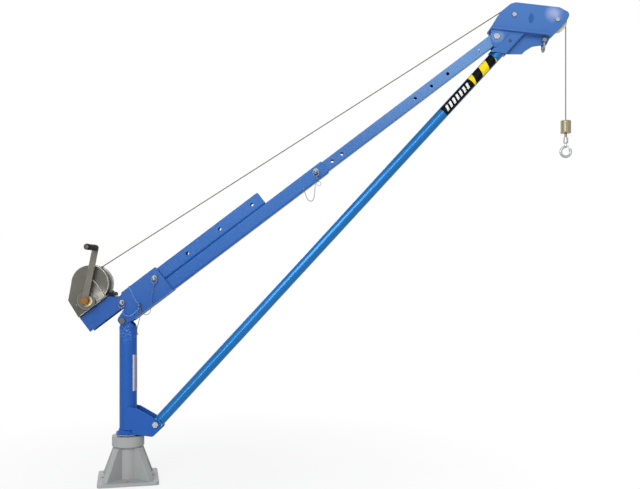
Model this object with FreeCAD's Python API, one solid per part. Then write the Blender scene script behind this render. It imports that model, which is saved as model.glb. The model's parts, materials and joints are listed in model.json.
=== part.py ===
import FreeCAD, Part
import math
import os

# Davit crane: a cast pedestal carries a swivelling mast, a telescopic tie boom
# with a hand winch on its tail, a long strut and a sheave head with rope and hook.
# Millimetres. Origin at the middle of the base's underside, on the swivel axis.
# +X is the boom's reach, +Z is up. Side sections lie in the XZ plane.

V = FreeCAD.Vector
DOWN_Y = V(0, -1, 0)

# Clearances
SHAFT_CLEAR = 0.08
SEAT_CLEAR = 0.1
SIDE_CLEAR = 0.4
PIN_CLEAR = 0.3
OPEN_PIVOT_CLEAR = 4.0

# Set-out of the three main pins, in X and Z
FOOT_X = 130.0
FOOT_Z = 251.0
PIVOT_X = -15.0
PIVOT_Z = 706.0
TIP_X = 1627.0
TIP_Z = 1955.0
PIVOT_BELOW_BOOM_AXIS = 5.7
TIP_ABOVE_STRUT_AXIS = 53.4
HEAD_TILT = -6.5
MAIN_BOLT_R = 8.0

# Pedestal
BASE_SIDE = 260.0
BASE_THICK = 15.0
BASE_CORNER = 15.0
BASE_HOLE_EDGE = 25.0
BASE_HOLE_R = 9.0
BASE_HOLES = 4
COLUMN_R = 54.0
COLLAR_R = 70.0
COLLAR_HEIGHT = 48.0
COLLAR_TAPER = 5.0
PEDESTAL_TOP = 198.0
RIB_THICK = 30.0
RIB_TOP_REACH = 74.0
RIB_FOOT_REACH = 140.0
PEDESTAL_TURN = 13.5
SPIGOT_R = 30.0
SPIGOT_FOOT_Z = 28.0
BUSH_WALL = 5.0
BUSH_LENGTH = 55.0
BUSH_FLANGE_R = 46.0
BUSH_FLANGE = 4.0
WASHER_R = 50.0
WASHER_THICK = 3.0

# Mast
MAST_R = 38.05
MAST_WALL = 6.3
MAST_TOP = 672.0
SWIVEL_FLANGE_R = 52.0
SWIVEL_FLANGE = 9.0
SWIVEL_CONE = 12.0
PLUG_LENGTH = 60.0
CHEEK_THICK = 6.0
CHEEK_LIFT = 6.0
CHEEK_BACK = 9.0
CHEEK_TOP = 330.0
CHEEK_EDGE = 25.0
CHEEK_TOE_Z = 197.0
HEAD_LUG_THICK = 12.0
HEAD_LUG_R = 24.0
HEAD_CAP = 10.0

# Outer boom, measured from the boom pivot along and across the boom
OUTER_SIZE = 60.0
OUTER_WALL = 4.0
OUTER_START = 43.0
OUTER_END = 1117.0
TUBE_CORNER = 8.0
RAIL_HEIGHT = 60.0
RAIL_START = 73.0
RAIL_END = 812.0
RAIL_NOSE_R = 11.0
RAIL_HOLE_R = 7.3
RAIL_HOLE_FIRST = 48.0
RAIL_HOLE_PITCH = 178.0
RAIL_HOLES = 5
CHANNEL_WALL = 5.0
CHANNEL_START = -144.0
CHANNEL_END = 173.0
CHANNEL_GAP = 12.0
CHANNEL_DEPTH = 78.0
CHANNEL_SLOPE_START = 13.0
CHANNEL_SLOPE_END = 47.0
SADDLE_THICK = 6.0
SADDLE_END = 258.0
SADDLE_RISE = 7.0
SADDLE_DROP = 0.6
SADDLE_EAR_R = 20.0
PIVOT_EAR_R = 18.0

# Inner boom
INNER_SIZE = 50.0
INNER_WALL = 4.0
INNER_START = 560.0
TIP_LUG_R = 22.0
TIP_NECK = 34.0
TIP_NECK_HALF = 21.0
LOCK_FROM_END = 49.0
LOCK_STEPS = (0.0, 90.0, 143.0, 548.0, 638.0, 728.0)

# Lock pins
PIN_R = 7.0
PIN_HEAD_R = 11.0
PIN_HEAD = 6.0
PIN_TAIL = 16.0
PIN_TAIL_HALF = 3.5
PIN_OVERHANG = 8.0
RING_R = 12.0
RING_WIRE_R = 1.6
RING_HOLE_R = 2.8
BOSS_R = 14.0
BOSS_LENGTH = 10.0
LANYARD_R = 1.5

# Strut
STRUT_R = 25.0
STRUT_WALL = 4.0
STRUT_END = 2325.0
FOOT_BUSH_R = 24.0

# Head, measured from the tip pin along and across the head
HEAD_BASE_LOW = 30.5
HEAD_BASE_THICK = 8.0
HEAD_BASE_START = -31.0
HEAD_BASE_END = 243.0
HEAD_BASE_WIDTH = 88.0
HEAD_PLATE_THICK = 6.0
HEAD_TOP = 160.5
HEAD_HEEL_AT = -18.0
HEAD_HEEL_HIGH = 60.0
HEAD_BACK_AT = 5.0
HEAD_BACK_HIGH = 110.0
HEAD_SHOULDER_AT = 46.0
HEAD_SHOULDER_HIGH = 152.0
HEAD_CROWN_AT = 68.0
HEAD_BROW_AT = 262.0
HEAD_NOSE_AT = 312.0
HEAD_NOSE_HIGH = 140.0
HEAD_LIP_AT = 298.0
HEAD_LIP_HIGH = 99.0
HEAD_CHIN_AT = 252.0
HEAD_CHIN_HIGH = 40.0
HEAD_ROUND = 18.0
HEAD_SET_IN = 11.0
EAR_R = 22.0
EAR_DROP = 44.0
EAR_LAP = 8.0
SHEAVE_PITCH_R = 46.0
SHEAVE_RIM = 3.0
SHEAVE_WIDTH = 22.0
SHEAVE_BORE_WALL = 6.0
SHEAVE_LINE = 105.0
REAR_SHEAVE_AT = 66.5
FRONT_SHEAVE_AT = 258.0
AXLE_R = 6.0
SOCKET_SIZE = 60.0
SOCKET_WALL = 4.0
SOCKET_LOW = -67.0
ANCHOR_THICK = 8.0
ANCHOR_HOLE_AT = 214.0
ANCHOR_HOLE_HIGH = 13.0

# Anchor shackle
SHACKLE_PIN_R = 5.0
SHACKLE_WIRE_R = 5.0
SHACKLE_HALF = 17.0
SHACKLE_LEG = 28.0

# Rope, weight and hook
ROPE_R = 2.5
ROPE_CLEAR = 0.3
FALL_ARC = 30.0
WEIGHT_R = 23.0
WEIGHT_TOP = 1592.0
WEIGHT_HEIGHT = 56.0
FERRULE_R = 5.5
FERRULE_LENGTH = 20.0
SWIVEL_R = 11.0
SWIVEL_HEIGHT = 24.0
HOOK_BOWL_R = 22.0
HOOK_WIRE_R = 6.0
HOOK_SHANK_R = 5.0
HOOK_NECK = 16.0
HOOK_TIP_ANGLE = 25.0
LATCH_THICK = 2.0
LATCH_WIDTH = 8.0

# Winch, measured from the boom pivot along and across the boom
WINCH_BASE_THICK = 5.0
WINCH_PLATE = 4.0
WINCH_INNER_HALF = 36.0
WINCH_REAR = -140.0
WINCH_REAR_TOP = 86.0
WINCH_FRONT = 32.5
DRUM_AT = -11.4
DRUM_HIGH = 88.0
DRUM_HALF = 30.0
DRUM_FLANGE_R = 82.0
DRUM_FLANGE = 3.0
BARREL_R = 43.0
DRUM_HUB_R = 17.0
DRUM_AXLE_R = 10.0
AXLE_COLLAR = 3.0
COVER_R = 81.0
COVER_SHEET = 2.0
COVER_DEPTH = 20.0
PAD_RISE = 5.0
GEAR_MODULE = 2.5
GEAR_TEETH = 48
PINION_TEETH = 12
GEAR_WIDTH = 10.0
GEAR_ADDENDUM = 1.85
PINION_ADDENDUM = 2.2
DEDENDUM = 3.0
BACKLASH = 0.5
PRESSURE_ANGLE = 20.0
PINION_DROP_ANGLE = 223.1
CRANK_SHAFT_R = 8.0
DISC_R = 26.0
BRAKE_PLATE_R = 38.0
DISC_THICK = 4.0
RATCHET_R = 32.0
RATCHET_DEPTH = 4.5
RATCHET_TEETH = 12
CRANK_RADIUS = 234.0
CRANK_ANGLE = 41.5
CRANK_WIDTH = 26.0
CRANK_THICK = 8.0
CRANK_HUB_R = 16.0
CRANK_HUB = 12.0
GRIP_R = 13.0
GRIP_LENGTH = 130.0
GRIP_BOLT_R = 6.0
CAP_R = 17.0
CAP_HEIGHT = 8.0
WIND_TURNS = 9
WIND_PITCH = 5.7
QUARTERS = 4

# Worked-out places
foot_pin = V(FOOT_X, 0, FOOT_Z)
pivot_pin = V(PIVOT_X, 0, PIVOT_Z)
tip_pin = V(TIP_X, 0, TIP_Z)


def slope(start, end):
    """Angle of the line between two points of the XZ plane, in degrees."""
    return math.degrees(math.atan2(end.z - start.z, end.x - start.x))


boom_length = pivot_pin.distanceToPoint(tip_pin)
strut_length = foot_pin.distanceToPoint(tip_pin)
BOOM_TILT = slope(pivot_pin, tip_pin) - math.degrees(math.asin(PIVOT_BELOW_BOOM_AXIS / boom_length))
STRUT_TILT = slope(foot_pin, tip_pin) - math.degrees(math.asin(TIP_ABOVE_STRUT_AXIS / strut_length))
boom_axis = PIVOT_BELOW_BOOM_AXIS
tip_at = math.sqrt(boom_length ** 2 - boom_axis ** 2)
outer_half = OUTER_SIZE / 2
inner_half = INNER_SIZE / 2
rail_low = boom_axis + outer_half
rail_top = rail_low + RAIL_HEIGHT
rail_hole_high = rail_low + RAIL_HEIGHT / 2
channel_low = rail_low + CHANNEL_GAP
channel_top = channel_low + CHANNEL_DEPTH
channel_in = outer_half + SIDE_CLEAR
channel_out = channel_in + CHANNEL_WALL
saddle_in = channel_out + SIDE_CLEAR / 2
saddle_out = saddle_in + SADDLE_THICK
cheek_in = MAST_R + SEAT_CLEAR
cheek_out = cheek_in + CHEEK_THICK
bolt_circle_r = BASE_SIDE / 2 - BASE_HOLE_EDGE
washer_low = PEDESTAL_TOP + BUSH_FLANGE
flange_low = washer_low + WASHER_THICK + SEAT_CLEAR
mast_low = flange_low + SWIVEL_FLANGE
ear_in = inner_half + 1.0
ear_out = ear_in + HEAD_PLATE_THICK
head_base_top = HEAD_BASE_LOW + HEAD_BASE_THICK
lock_at = OUTER_END - LOCK_FROM_END
lock_travel = OUTER_SIZE + PIN_OVERHANG - OUTER_WALL / 2
drum_high = channel_top + DRUM_HIGH
plate_out = WINCH_INNER_HALF + WINCH_PLATE
cover_front = plate_out + COVER_DEPTH
pad_front = cover_front + PAD_RISE
gear_centres = GEAR_MODULE * (GEAR_TEETH + PINION_TEETH) / 2
crank_at = DRUM_AT + gear_centres * math.cos(math.radians(PINION_DROP_ANGLE))
crank_high = drum_high + gear_centres * math.sin(math.radians(PINION_DROP_ANGLE))
disc_inner = cover_front + SIDE_CLEAR
ratchet_inner = disc_inner + DISC_THICK + PIN_CLEAR
ratchet_outer = ratchet_inner + DISC_THICK + 2
disc_outer = ratchet_outer + PIN_CLEAR
hub_inner = disc_outer + DISC_THICK
arm_inner = hub_inner + CRANK_HUB
arm_outer = arm_inner + CRANK_THICK
wind_r = BARREL_R + ROPE_R + ROPE_CLEAR

os.makedirs("parts", exist_ok=True)


def save(name, shapes):
    """Write one named piece, or a group of like pieces, as a STEP file."""
    solids = []
    for shape in shapes:
        solids.extend(shape.Solids)
    shape = solids[0] if len(solids) == 1 else Part.makeCompound(solids)
    shape.exportStep("parts/" + name + ".step")


# Shape helpers


def corner_arc(before, corner, after, radius):
    """Start, middle and end of the arc that rounds one corner of an outline."""
    a = (before - corner).normalize()
    b = (after - corner).normalize()
    half = a.getAngle(b) / 2
    reach = radius / math.tan(half)
    towards = (a + b).normalize()
    middle = corner + towards * (radius / math.sin(half) - radius)
    return corner + a * reach, middle, corner + b * reach


def outline(points):
    """Closed wire in the XZ plane. A third number in a point rounds that corner."""
    places = [V(p[0], 0, p[1]) for p in points]
    count = len(points)
    corners = []
    for i, point in enumerate(points):
        if len(point) > 2:
            after = places[(i + 1) % count]
            corners.append(corner_arc(places[i - 1], places[i], after, point[2]))
        else:
            corners.append((places[i], None, places[i]))
    edges = []
    for i, (start, middle, end) in enumerate(corners):
        if middle is not None:
            edges.append(Part.Arc(start, middle, end).toShape())
        following = corners[(i + 1) % count][0]
        if end.distanceToPoint(following) > 1e-6:
            edges.append(Part.LineSegment(end, following).toShape())
    return Part.Wire(edges)


def plate(points, y_low, y_high):
    """Flat plate with an outline in the XZ plane, between two Y values."""
    face = Part.Face(outline(points))
    face.translate(V(0, y_low, 0))
    return face.extrude(V(0, y_high - y_low, 0))


def rod(x, z, radius, y_low, y_high):
    """Round bar along Y."""
    return Part.makeCylinder(radius, y_high - y_low, V(x, y_low, z), V(0, 1, 0))


def sleeve(x, z, outer, inner, y_low, y_high):
    """Round tube along Y."""
    return rod(x, z, outer, y_low, y_high).cut(rod(x, z, inner, y_low - 1, y_high + 1))


def post(x, y, radius, z_low, z_high):
    """Round bar along Z."""
    return Part.makeCylinder(radius, z_high - z_low, V(x, y, z_low))


def hex_bar(x, z, across, y_low, y_high):
    """Hexagonal bar along Y, for bolt heads and nuts."""
    radius = across / math.sqrt(3)
    points = []
    for i in range(6):
        angle = math.radians(60 * i)
        points.append((x + radius * math.cos(angle), z + radius * math.sin(angle)))
    return plate(points, y_low, y_high)


def bolt_and_nut(x, z, radius, y_low, y_high):
    """Hex bolt along Y gripping y_low to y_high, with a washer and nut at the far side."""
    across = radius * 3
    head = radius * 1.25
    bolt = rod(x, z, radius, y_low, y_high + head * 2).fuse(hex_bar(x, z, across, y_low - head, y_low))
    washer = sleeve(x, z, radius * 1.9, radius + SEAT_CLEAR, y_high, y_high + 2)
    nut = hex_bar(x, z, across, y_high + 2, y_high + 2 + head * 1.3)
    nut = nut.cut(rod(x, z, radius + SEAT_CLEAR, y_high, y_high + head * 4))
    return [bolt.removeSplitter(), washer, nut]


def section_tube(x_low, x_high, z_mid, width, height, wall, corner):
    """Rounded rectangular tube along X, centred on Y = 0."""
    def bar(half_y, half_z, radius):
        points = [(-half_y, -half_z, radius), (half_y, -half_z, radius), (half_y, half_z, radius)]
        points.append((-half_y, half_z, radius))
        face = Part.Face(outline(points))
        face.rotate(V(0, 0, 0), V(0, 0, 1), 90)
        face.translate(V(x_low, 0, z_mid))
        return face.extrude(V(x_high - x_low, 0, 0))
    skin = bar(width / 2, height / 2, corner)
    return skin.cut(bar(width / 2 - wall, height / 2 - wall, corner - wall / 2))


def place(shape, origin, tilt):
    """Move a shape drawn level into a frame tilted in the XZ plane."""
    moved = shape.copy()
    moved.rotate(V(0, 0, 0), DOWN_Y, tilt)
    moved.translate(origin)
    return moved


def in_boom(shapes):
    return [place(shape, pivot_pin, BOOM_TILT) for shape in shapes]


def in_head(shapes):
    return [place(shape, tip_pin, HEAD_TILT) for shape in shapes]


def in_strut(shapes):
    return [place(shape, foot_pin, STRUT_TILT) for shape in shapes]


def boom_point(along, across, y=0.0):
    turn = math.radians(BOOM_TILT)
    x = PIVOT_X + along * math.cos(turn) - across * math.sin(turn)
    z = PIVOT_Z + along * math.sin(turn) + across * math.cos(turn)
    return V(x, y, z)


def head_point(along, across, y=0.0):
    turn = math.radians(HEAD_TILT)
    x = TIP_X + along * math.cos(turn) - across * math.sin(turn)
    z = TIP_Z + along * math.sin(turn) + across * math.cos(turn)
    return V(x, y, z)


def ring_point(centre, radius, degrees):
    angle = math.radians(degrees)
    return centre + V(radius * math.cos(angle), 0, radius * math.sin(angle))


def turned(shape):
    """The pedestal is bolted down turned a little from the boom's plane."""
    shape.rotate(V(0, 0, 0), V(0, 0, 1), PEDESTAL_TURN)
    return shape


def pipe(edges, radius):
    """Round bar along a path of lines and arcs that starts at the first edge's start."""
    path = Part.Wire(edges)
    first = edges[0]
    start = first.valueAt(first.FirstParameter)
    ahead = first.tangentAt(first.FirstParameter)
    ring = Part.Wire(Part.makeCircle(radius, start, ahead))
    return path.makePipeShell([ring], True, False)


# Pedestal


def pedestal_casting():
    half = BASE_SIDE / 2
    base = Part.makeBox(BASE_SIDE, BASE_SIDE, BASE_THICK, V(-half, -half, 0))
    upright = [edge for edge in base.Edges if abs(edge.BoundBox.ZLength - BASE_THICK) < 1e-6]
    body = base.makeFillet(BASE_CORNER, upright)
    body = body.fuse(post(0, 0, COLUMN_R, BASE_THICK, PEDESTAL_TOP))
    collar_low = PEDESTAL_TOP - COLLAR_HEIGHT
    body = body.fuse(post(0, 0, COLLAR_R, collar_low + COLLAR_TAPER, PEDESTAL_TOP))
    taper = Part.makeCone(COLLAR_R - COLLAR_TAPER, COLLAR_R, COLLAR_TAPER, V(0, 0, collar_low))
    body = body.fuse(taper)
    for quarter in range(4):
        rib = plate(
            [(0, BASE_THICK), (RIB_FOOT_REACH, BASE_THICK), (RIB_TOP_REACH, collar_low), (0, collar_low)],
            -RIB_THICK / 2, RIB_THICK / 2)
        rib.rotate(V(0, 0, 0), V(0, 0, 1), 45 + 90 * quarter)
        body = body.fuse(rib)
    body = body.cut(post(0, 0, SPIGOT_R + BUSH_WALL, -1, PEDESTAL_TOP + 1))
    for i in range(BASE_HOLES):
        angle = math.radians(360 / BASE_HOLES * i)
        x = bolt_circle_r * math.cos(angle)
        y = bolt_circle_r * math.sin(angle)
        body = body.cut(post(x, y, BASE_HOLE_R, -1, BASE_THICK + 1))
    return turned(body.removeSplitter())


def bush(z_low, z_high):
    """Plain bush for the spigot."""
    outer = post(0, 0, SPIGOT_R + BUSH_WALL, z_low, z_high)
    return outer.cut(post(0, 0, SPIGOT_R + SHAFT_CLEAR, z_low - 1, z_high + 1))


def flanged_bush(z_low, z_high):
    """Bush whose flange lies on the pedestal's top."""
    flange = post(0, 0, BUSH_FLANGE_R, z_high, z_high + BUSH_FLANGE)
    flange = flange.cut(post(0, 0, SPIGOT_R + SHAFT_CLEAR, z_high - 1, z_high + BUSH_FLANGE + 1))
    return bush(z_low, z_high).fuse(flange).removeSplitter()


def thrust_washer():
    ring = post(0, 0, WASHER_R, washer_low, washer_low + WASHER_THICK)
    return ring.cut(post(0, 0, SPIGOT_R + SIDE_CLEAR, washer_low - 1, washer_low + WASHER_THICK + 1))


# Mast


def swivel_spigot():
    plug_r = MAST_R - MAST_WALL - SEAT_CLEAR
    body = post(0, 0, SPIGOT_R, SPIGOT_FOOT_Z, flange_low)
    body = body.fuse(post(0, 0, SWIVEL_FLANGE_R, flange_low, mast_low))
    return body.fuse(post(0, 0, plug_r, mast_low, mast_low + PLUG_LENGTH)).removeSplitter()


def mast_tube():
    tube = post(0, 0, MAST_R, mast_low, MAST_TOP)
    tube = tube.fuse(Part.makeCone(SWIVEL_FLANGE_R - 4, MAST_R, SWIVEL_CONE, V(0, 0, mast_low)))
    return tube.cut(post(0, 0, MAST_R - MAST_WALL, mast_low - 1, MAST_TOP + 1)).removeSplitter()


def foot_bracket():
    """Folded bracket: two cheeks beside the mast, joined by a sloping floor under the strut's foot."""
    heel_z = flange_low + CHEEK_LIFT
    toe_x = FOOT_X - CHEEK_EDGE / 2
    fall = (CHEEK_TOE_Z - heel_z) / (toe_x - CHEEK_BACK)
    side = [(-CHEEK_BACK, heel_z + 14), (-CHEEK_BACK, CHEEK_TOP - 34, 14), (12, CHEEK_TOP, 10)]
    side += [(46, CHEEK_TOP - 8, 16), (FOOT_X - 4, FOOT_Z + CHEEK_EDGE, 12)]
    side += [(FOOT_X + CHEEK_EDGE + 7, FOOT_Z - 12, 18), (toe_x, CHEEK_TOE_Z, 14), (CHEEK_BACK, heel_z)]
    body = plate(side, -cheek_out, cheek_out)
    floor = heel_z + CHEEK_THICK
    reach = 2 * FOOT_X
    inside = [(-reach, floor - fall * (reach + CHEEK_BACK)), (reach, floor + fall * (reach - CHEEK_BACK))]
    inside += [(reach, CHEEK_TOP + reach), (-reach, CHEEK_TOP + reach)]
    body = body.cut(plate(inside, -cheek_in, cheek_in))
    clear_r = SWIVEL_FLANGE_R + SIDE_CLEAR
    body = body.cut(post(0, 0, clear_r, flange_low - SIDE_CLEAR, mast_low + SWIVEL_CONE + SIDE_CLEAR))
    return body.cut(rod(FOOT_X, FOOT_Z, MAIN_BOLT_R + SEAT_CLEAR, -cheek_out - 1, cheek_out + 1))


def mast_head():
    lug_out = saddle_in - SIDE_CLEAR
    cap = post(0, 0, MAST_R, MAST_TOP, MAST_TOP + HEAD_CAP)
    lugs = []
    side = [(-MAST_R + 3, MAST_TOP + HEAD_CAP), (MAST_R - 3, MAST_TOP + HEAD_CAP)]
    side += [(PIVOT_X + HEAD_LUG_R, PIVOT_Z), (PIVOT_X - HEAD_LUG_R + 4, PIVOT_Z)]
    for y_low in (-lug_out, lug_out - HEAD_LUG_THICK):
        lug = plate(side, y_low, y_low + HEAD_LUG_THICK)
        lug = lug.fuse(rod(PIVOT_X, PIVOT_Z, HEAD_LUG_R - 2, y_low, y_low + HEAD_LUG_THICK))
        lug = lug.common(Part.makeCylinder(MAST_R, 200, V(0, 0, MAST_TOP)))
        lugs.append(lug)
    body = cap.fuse(lugs)
    body = body.cut(rod(PIVOT_X, PIVOT_Z, MAIN_BOLT_R + SEAT_CLEAR, -200, 200))
    return body.removeSplitter()


# Outer boom


def drill_rail(shape, reach):
    for i in range(RAIL_HOLES):
        along = RAIL_HOLE_FIRST + RAIL_HOLE_PITCH * i
        shape = shape.cut(rod(along, rail_hole_high, RAIL_HOLE_R, -reach, reach))
    return shape


def outer_tube():
    tube = section_tube(OUTER_START, OUTER_END, boom_axis, OUTER_SIZE, OUTER_SIZE, OUTER_WALL, TUBE_CORNER)
    boss = rod(lock_at, boom_axis, BOSS_R, -outer_half - BOSS_LENGTH, -outer_half)
    tube = tube.fuse(boss)
    return tube.cut(rod(lock_at, boom_axis, PIN_R + PIN_CLEAR, -OUTER_SIZE, OUTER_SIZE)).removeSplitter()


def winch_rail():
    tube = section_tube(RAIL_START, RAIL_END, rail_low + RAIL_HEIGHT / 2, OUTER_SIZE, RAIL_HEIGHT,
                        OUTER_WALL, TUBE_CORNER)
    nose = plate([(RAIL_START, rail_low), (RAIL_END, rail_low), (RAIL_END, rail_top, RAIL_NOSE_R),
                  (RAIL_START, rail_top)], -OUTER_SIZE, OUTER_SIZE)
    return drill_rail(tube.common(nose), OUTER_SIZE)


def winch_channel():
    side = [(CHANNEL_START, channel_low), (CHANNEL_END, channel_low), (CHANNEL_END, rail_top)]
    side += [(CHANNEL_SLOPE_END, rail_top), (CHANNEL_SLOPE_START, channel_top), (CHANNEL_START, channel_top)]
    body = plate(side, -channel_out, channel_out)
    length = CHANNEL_END - CHANNEL_START
    hollow = Part.makeBox(length + 2, 2 * channel_in, CHANNEL_DEPTH * 2,
                          V(CHANNEL_START - 1, -channel_in, channel_top - CHANNEL_WALL - CHANNEL_DEPTH * 2))
    front = Part.makeBox(length, 2 * channel_in, CHANNEL_DEPTH * 2,
                         V(CHANNEL_SLOPE_START, -channel_in, channel_low - CHANNEL_DEPTH / 2))
    body = drill_rail(body.cut(hollow).cut(front), OUTER_SIZE)
    for along, y in winch_bolt_places():
        body = body.cut(post(along, y, 4 + SEAT_CLEAR, channel_top - 20, channel_top + 20))
    return body


def saddle_plate(y_low):
    low = boom_axis - outer_half - SADDLE_DROP
    top = rail_top + SADDLE_RISE
    ear = RAIL_HOLE_FIRST - SADDLE_EAR_R
    side = [(-PIVOT_EAR_R, 0, PIVOT_EAR_R * 0.9), (-PIVOT_EAR_R, PIVOT_EAR_R, PIVOT_EAR_R * 0.9)]
    side += [(RAIL_HOLE_FIRST - 6, channel_low - 8, 5), (ear, channel_low, 6)]
    side += [(ear, rail_hole_high + SADDLE_EAR_R, SADDLE_EAR_R - 1), (RAIL_HOLE_FIRST + 8, rail_hole_high + SADDLE_EAR_R, 8)]
    side += [(RAIL_HOLE_FIRST + 22, top, 8), (SADDLE_END, top, 6), (SADDLE_END, low, 6)]
    side += [(PIVOT_EAR_R + 16, low, 10), (0, -PIVOT_EAR_R, PIVOT_EAR_R * 0.5)]
    side += [(-PIVOT_EAR_R, -PIVOT_EAR_R, PIVOT_EAR_R * 0.45)]
    body = plate(side[1:], y_low, y_low + SADDLE_THICK)
    body = body.cut(rod(0, 0, MAIN_BOLT_R + SHAFT_CLEAR, -200, 200))
    for i in range(2):
        along = RAIL_HOLE_FIRST + RAIL_HOLE_PITCH * i
        body = body.cut(rod(along, rail_hole_high, RAIL_HOLE_R, -200, 200))
    return body


# Inner boom


def inner_tube():
    tube = section_tube(INNER_START, tip_at + TIP_LUG_R, boom_axis, INNER_SIZE, INNER_SIZE, INNER_WALL,
                        TUBE_CORNER - 2)
    neck = tip_at - TIP_NECK
    mid = boom_axis
    keep = plate([(INNER_START - 1, mid - INNER_SIZE), (neck, mid - INNER_SIZE), (neck, mid + INNER_SIZE),
                  (INNER_START - 1, mid + INNER_SIZE)], -INNER_SIZE, INNER_SIZE)
    taper = plate([(neck - 1, mid - inner_half), (tip_at, mid - TIP_NECK_HALF), (tip_at, mid + TIP_NECK_HALF),
                   (neck - 1, mid + inner_half)], -INNER_SIZE, INNER_SIZE)
    keep = keep.fuse(taper).fuse(rod(tip_at, mid, TIP_LUG_R, -INNER_SIZE, INNER_SIZE))
    tube = tube.common(keep)
    tube = tube.cut(rod(tip_at, mid, MAIN_BOLT_R + SHAFT_CLEAR, -INNER_SIZE, INNER_SIZE))
    for step in LOCK_STEPS:
        tube = tube.cut(rod(lock_at + step, mid, PIN_R + PIN_CLEAR, -INNER_SIZE, INNER_SIZE))
    return tube.removeSplitter()


# Lock pins


def lock_pin(along, high, seat, far_end):
    """Pin along Y with its head against the near seat and a ring in its tail, in the boom's frame."""
    neck = seat - PIN_HEAD
    tail = neck - PIN_TAIL
    body = rod(along, high, PIN_R, seat, far_end).fuse(rod(along, high, PIN_HEAD_R, neck, seat))
    body = body.fuse(rod(along, high, PIN_R, tail, neck))
    return body.removeSplitter()


def pin_with_ring(along, high, seat, far_end):
    """The pin in place, its tail flattened and drilled across, and the ring that hangs in it."""
    tail_mid = seat - PIN_HEAD - PIN_TAIL / 2
    pin = in_boom([lock_pin(along, high, seat, far_end)])[0]
    centre = boom_point(along, high, tail_mid)
    for side in (-1, 1):
        x = PIN_TAIL_HALF if side > 0 else -PIN_TAIL_HALF - 20
        block = Part.makeBox(20, PIN_TAIL, 40, V(centre.x + x, tail_mid - PIN_TAIL / 2, centre.z - 20))
        pin = pin.cut(block)
    pin = pin.cut(Part.makeCylinder(RING_HOLE_R, 40, V(centre.x - 20, tail_mid, centre.z), V(1, 0, 0)))
    hang = V(centre.x, tail_mid, centre.z - RING_R)
    ring = Part.makeTorus(RING_R, RING_WIRE_R, hang, V(0, 1, 0))
    return [pin, ring]


def ring_foot(along, high, seat):
    """Lowest point of a lock pin's ring."""
    tail_mid = seat - PIN_HEAD - PIN_TAIL / 2
    centre = boom_point(along, high, tail_mid)
    return V(centre.x, tail_mid, centre.z - 2 * RING_R - RING_WIRE_R)


# Free lanyards: straight runs joined by the largest tangent arcs


def lanyard(name, points):
    """Thin wire along a hand-chosen route; prints its radii and its volume against its length."""
    edges = []
    radii = []
    at = points[0]
    for i in range(1, len(points) - 1):
        before = points[i - 1] - points[i]
        after = points[i + 1] - points[i]
        half = before.getAngle(after) / 2
        radius = 0.45 * min(before.Length, after.Length) * math.tan(half)
        radii.append(round(radius, 1))
        start, middle, end = corner_arc(points[i - 1], points[i], points[i + 1], radius)
        edges.append(Part.LineSegment(at, start).toShape())
        edges.append(Part.Arc(start, middle, end).toShape())
        at = end
    edges.append(Part.LineSegment(at, points[-1]).toShape())
    length = sum(edge.Length for edge in edges)
    body = pipe(edges, LANYARD_R)
    share = body.Volume / (math.pi * LANYARD_R ** 2 * length)
    print(name, "length", round(length, 1), "radii", radii, "volume share", round(share, 4))
    return body


def eye_place():
    return boom_point(102, 10, -saddle_out)


def lanyard_eye():
    """Eye screw on the saddle that the pins' lanyards share."""
    foot = eye_place()
    stem = rod(foot.x, foot.z, 3.5, foot.y - 4, foot.y)
    ring = Part.makeTorus(7, 2, V(foot.x, foot.y - 4 - 9, foot.z), V(1, 0, 0))
    return [stem.fuse(rod(foot.x, foot.z, 2, foot.y - 6, foot.y - 4)).fuse(ring).removeSplitter()]


# Strut


def strut_tube():
    tube = Part.makeCylinder(STRUT_R, STRUT_END, V(0, 0, 0), V(1, 0, 0))
    tube = tube.cut(Part.makeCylinder(STRUT_R - STRUT_WALL, STRUT_END + 2, V(-1, 0, 0), V(1, 0, 0)))
    return tube.cut(rod(0, 0, FOOT_BUSH_R + SEAT_CLEAR / 2, -100, 100)).Solids[-1]


def strut_foot():
    half = cheek_in - SIDE_CLEAR
    return sleeve(0, 0, FOOT_BUSH_R, MAIN_BOLT_R + OPEN_PIVOT_CLEAR, -half, half)


# Head


def head_side(y_low):
    side = [(HEAD_BASE_START + HEAD_SET_IN, head_base_top), (HEAD_HEEL_AT, HEAD_HEEL_HIGH, HEAD_ROUND)]
    side += [(HEAD_BACK_AT, HEAD_BACK_HIGH, HEAD_ROUND), (HEAD_SHOULDER_AT, HEAD_SHOULDER_HIGH, HEAD_ROUND)]
    side += [(HEAD_CROWN_AT, HEAD_TOP, HEAD_ROUND), (HEAD_BROW_AT, HEAD_TOP, HEAD_ROUND)]
    side += [(HEAD_NOSE_AT, HEAD_NOSE_HIGH, HEAD_ROUND), (HEAD_LIP_AT, HEAD_LIP_HIGH, HEAD_ROUND)]
    side += [(HEAD_CHIN_AT, HEAD_CHIN_HIGH, HEAD_ROUND / 2), (HEAD_BASE_END, head_base_top)]
    body = plate(side, y_low, y_low + HEAD_PLATE_THICK)
    for along in (REAR_SHEAVE_AT, FRONT_SHEAVE_AT):
        body = body.cut(rod(along, SHEAVE_LINE, AXLE_R + SEAT_CLEAR, -200, 200))
    return body


def head_base():
    half = HEAD_BASE_WIDTH / 2
    body = Part.makeBox(HEAD_BASE_END - HEAD_BASE_START, HEAD_BASE_WIDTH, HEAD_BASE_THICK,
                        V(HEAD_BASE_START, -half, HEAD_BASE_LOW))
    return body.fuse(head_ears()).removeSplitter()


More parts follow.
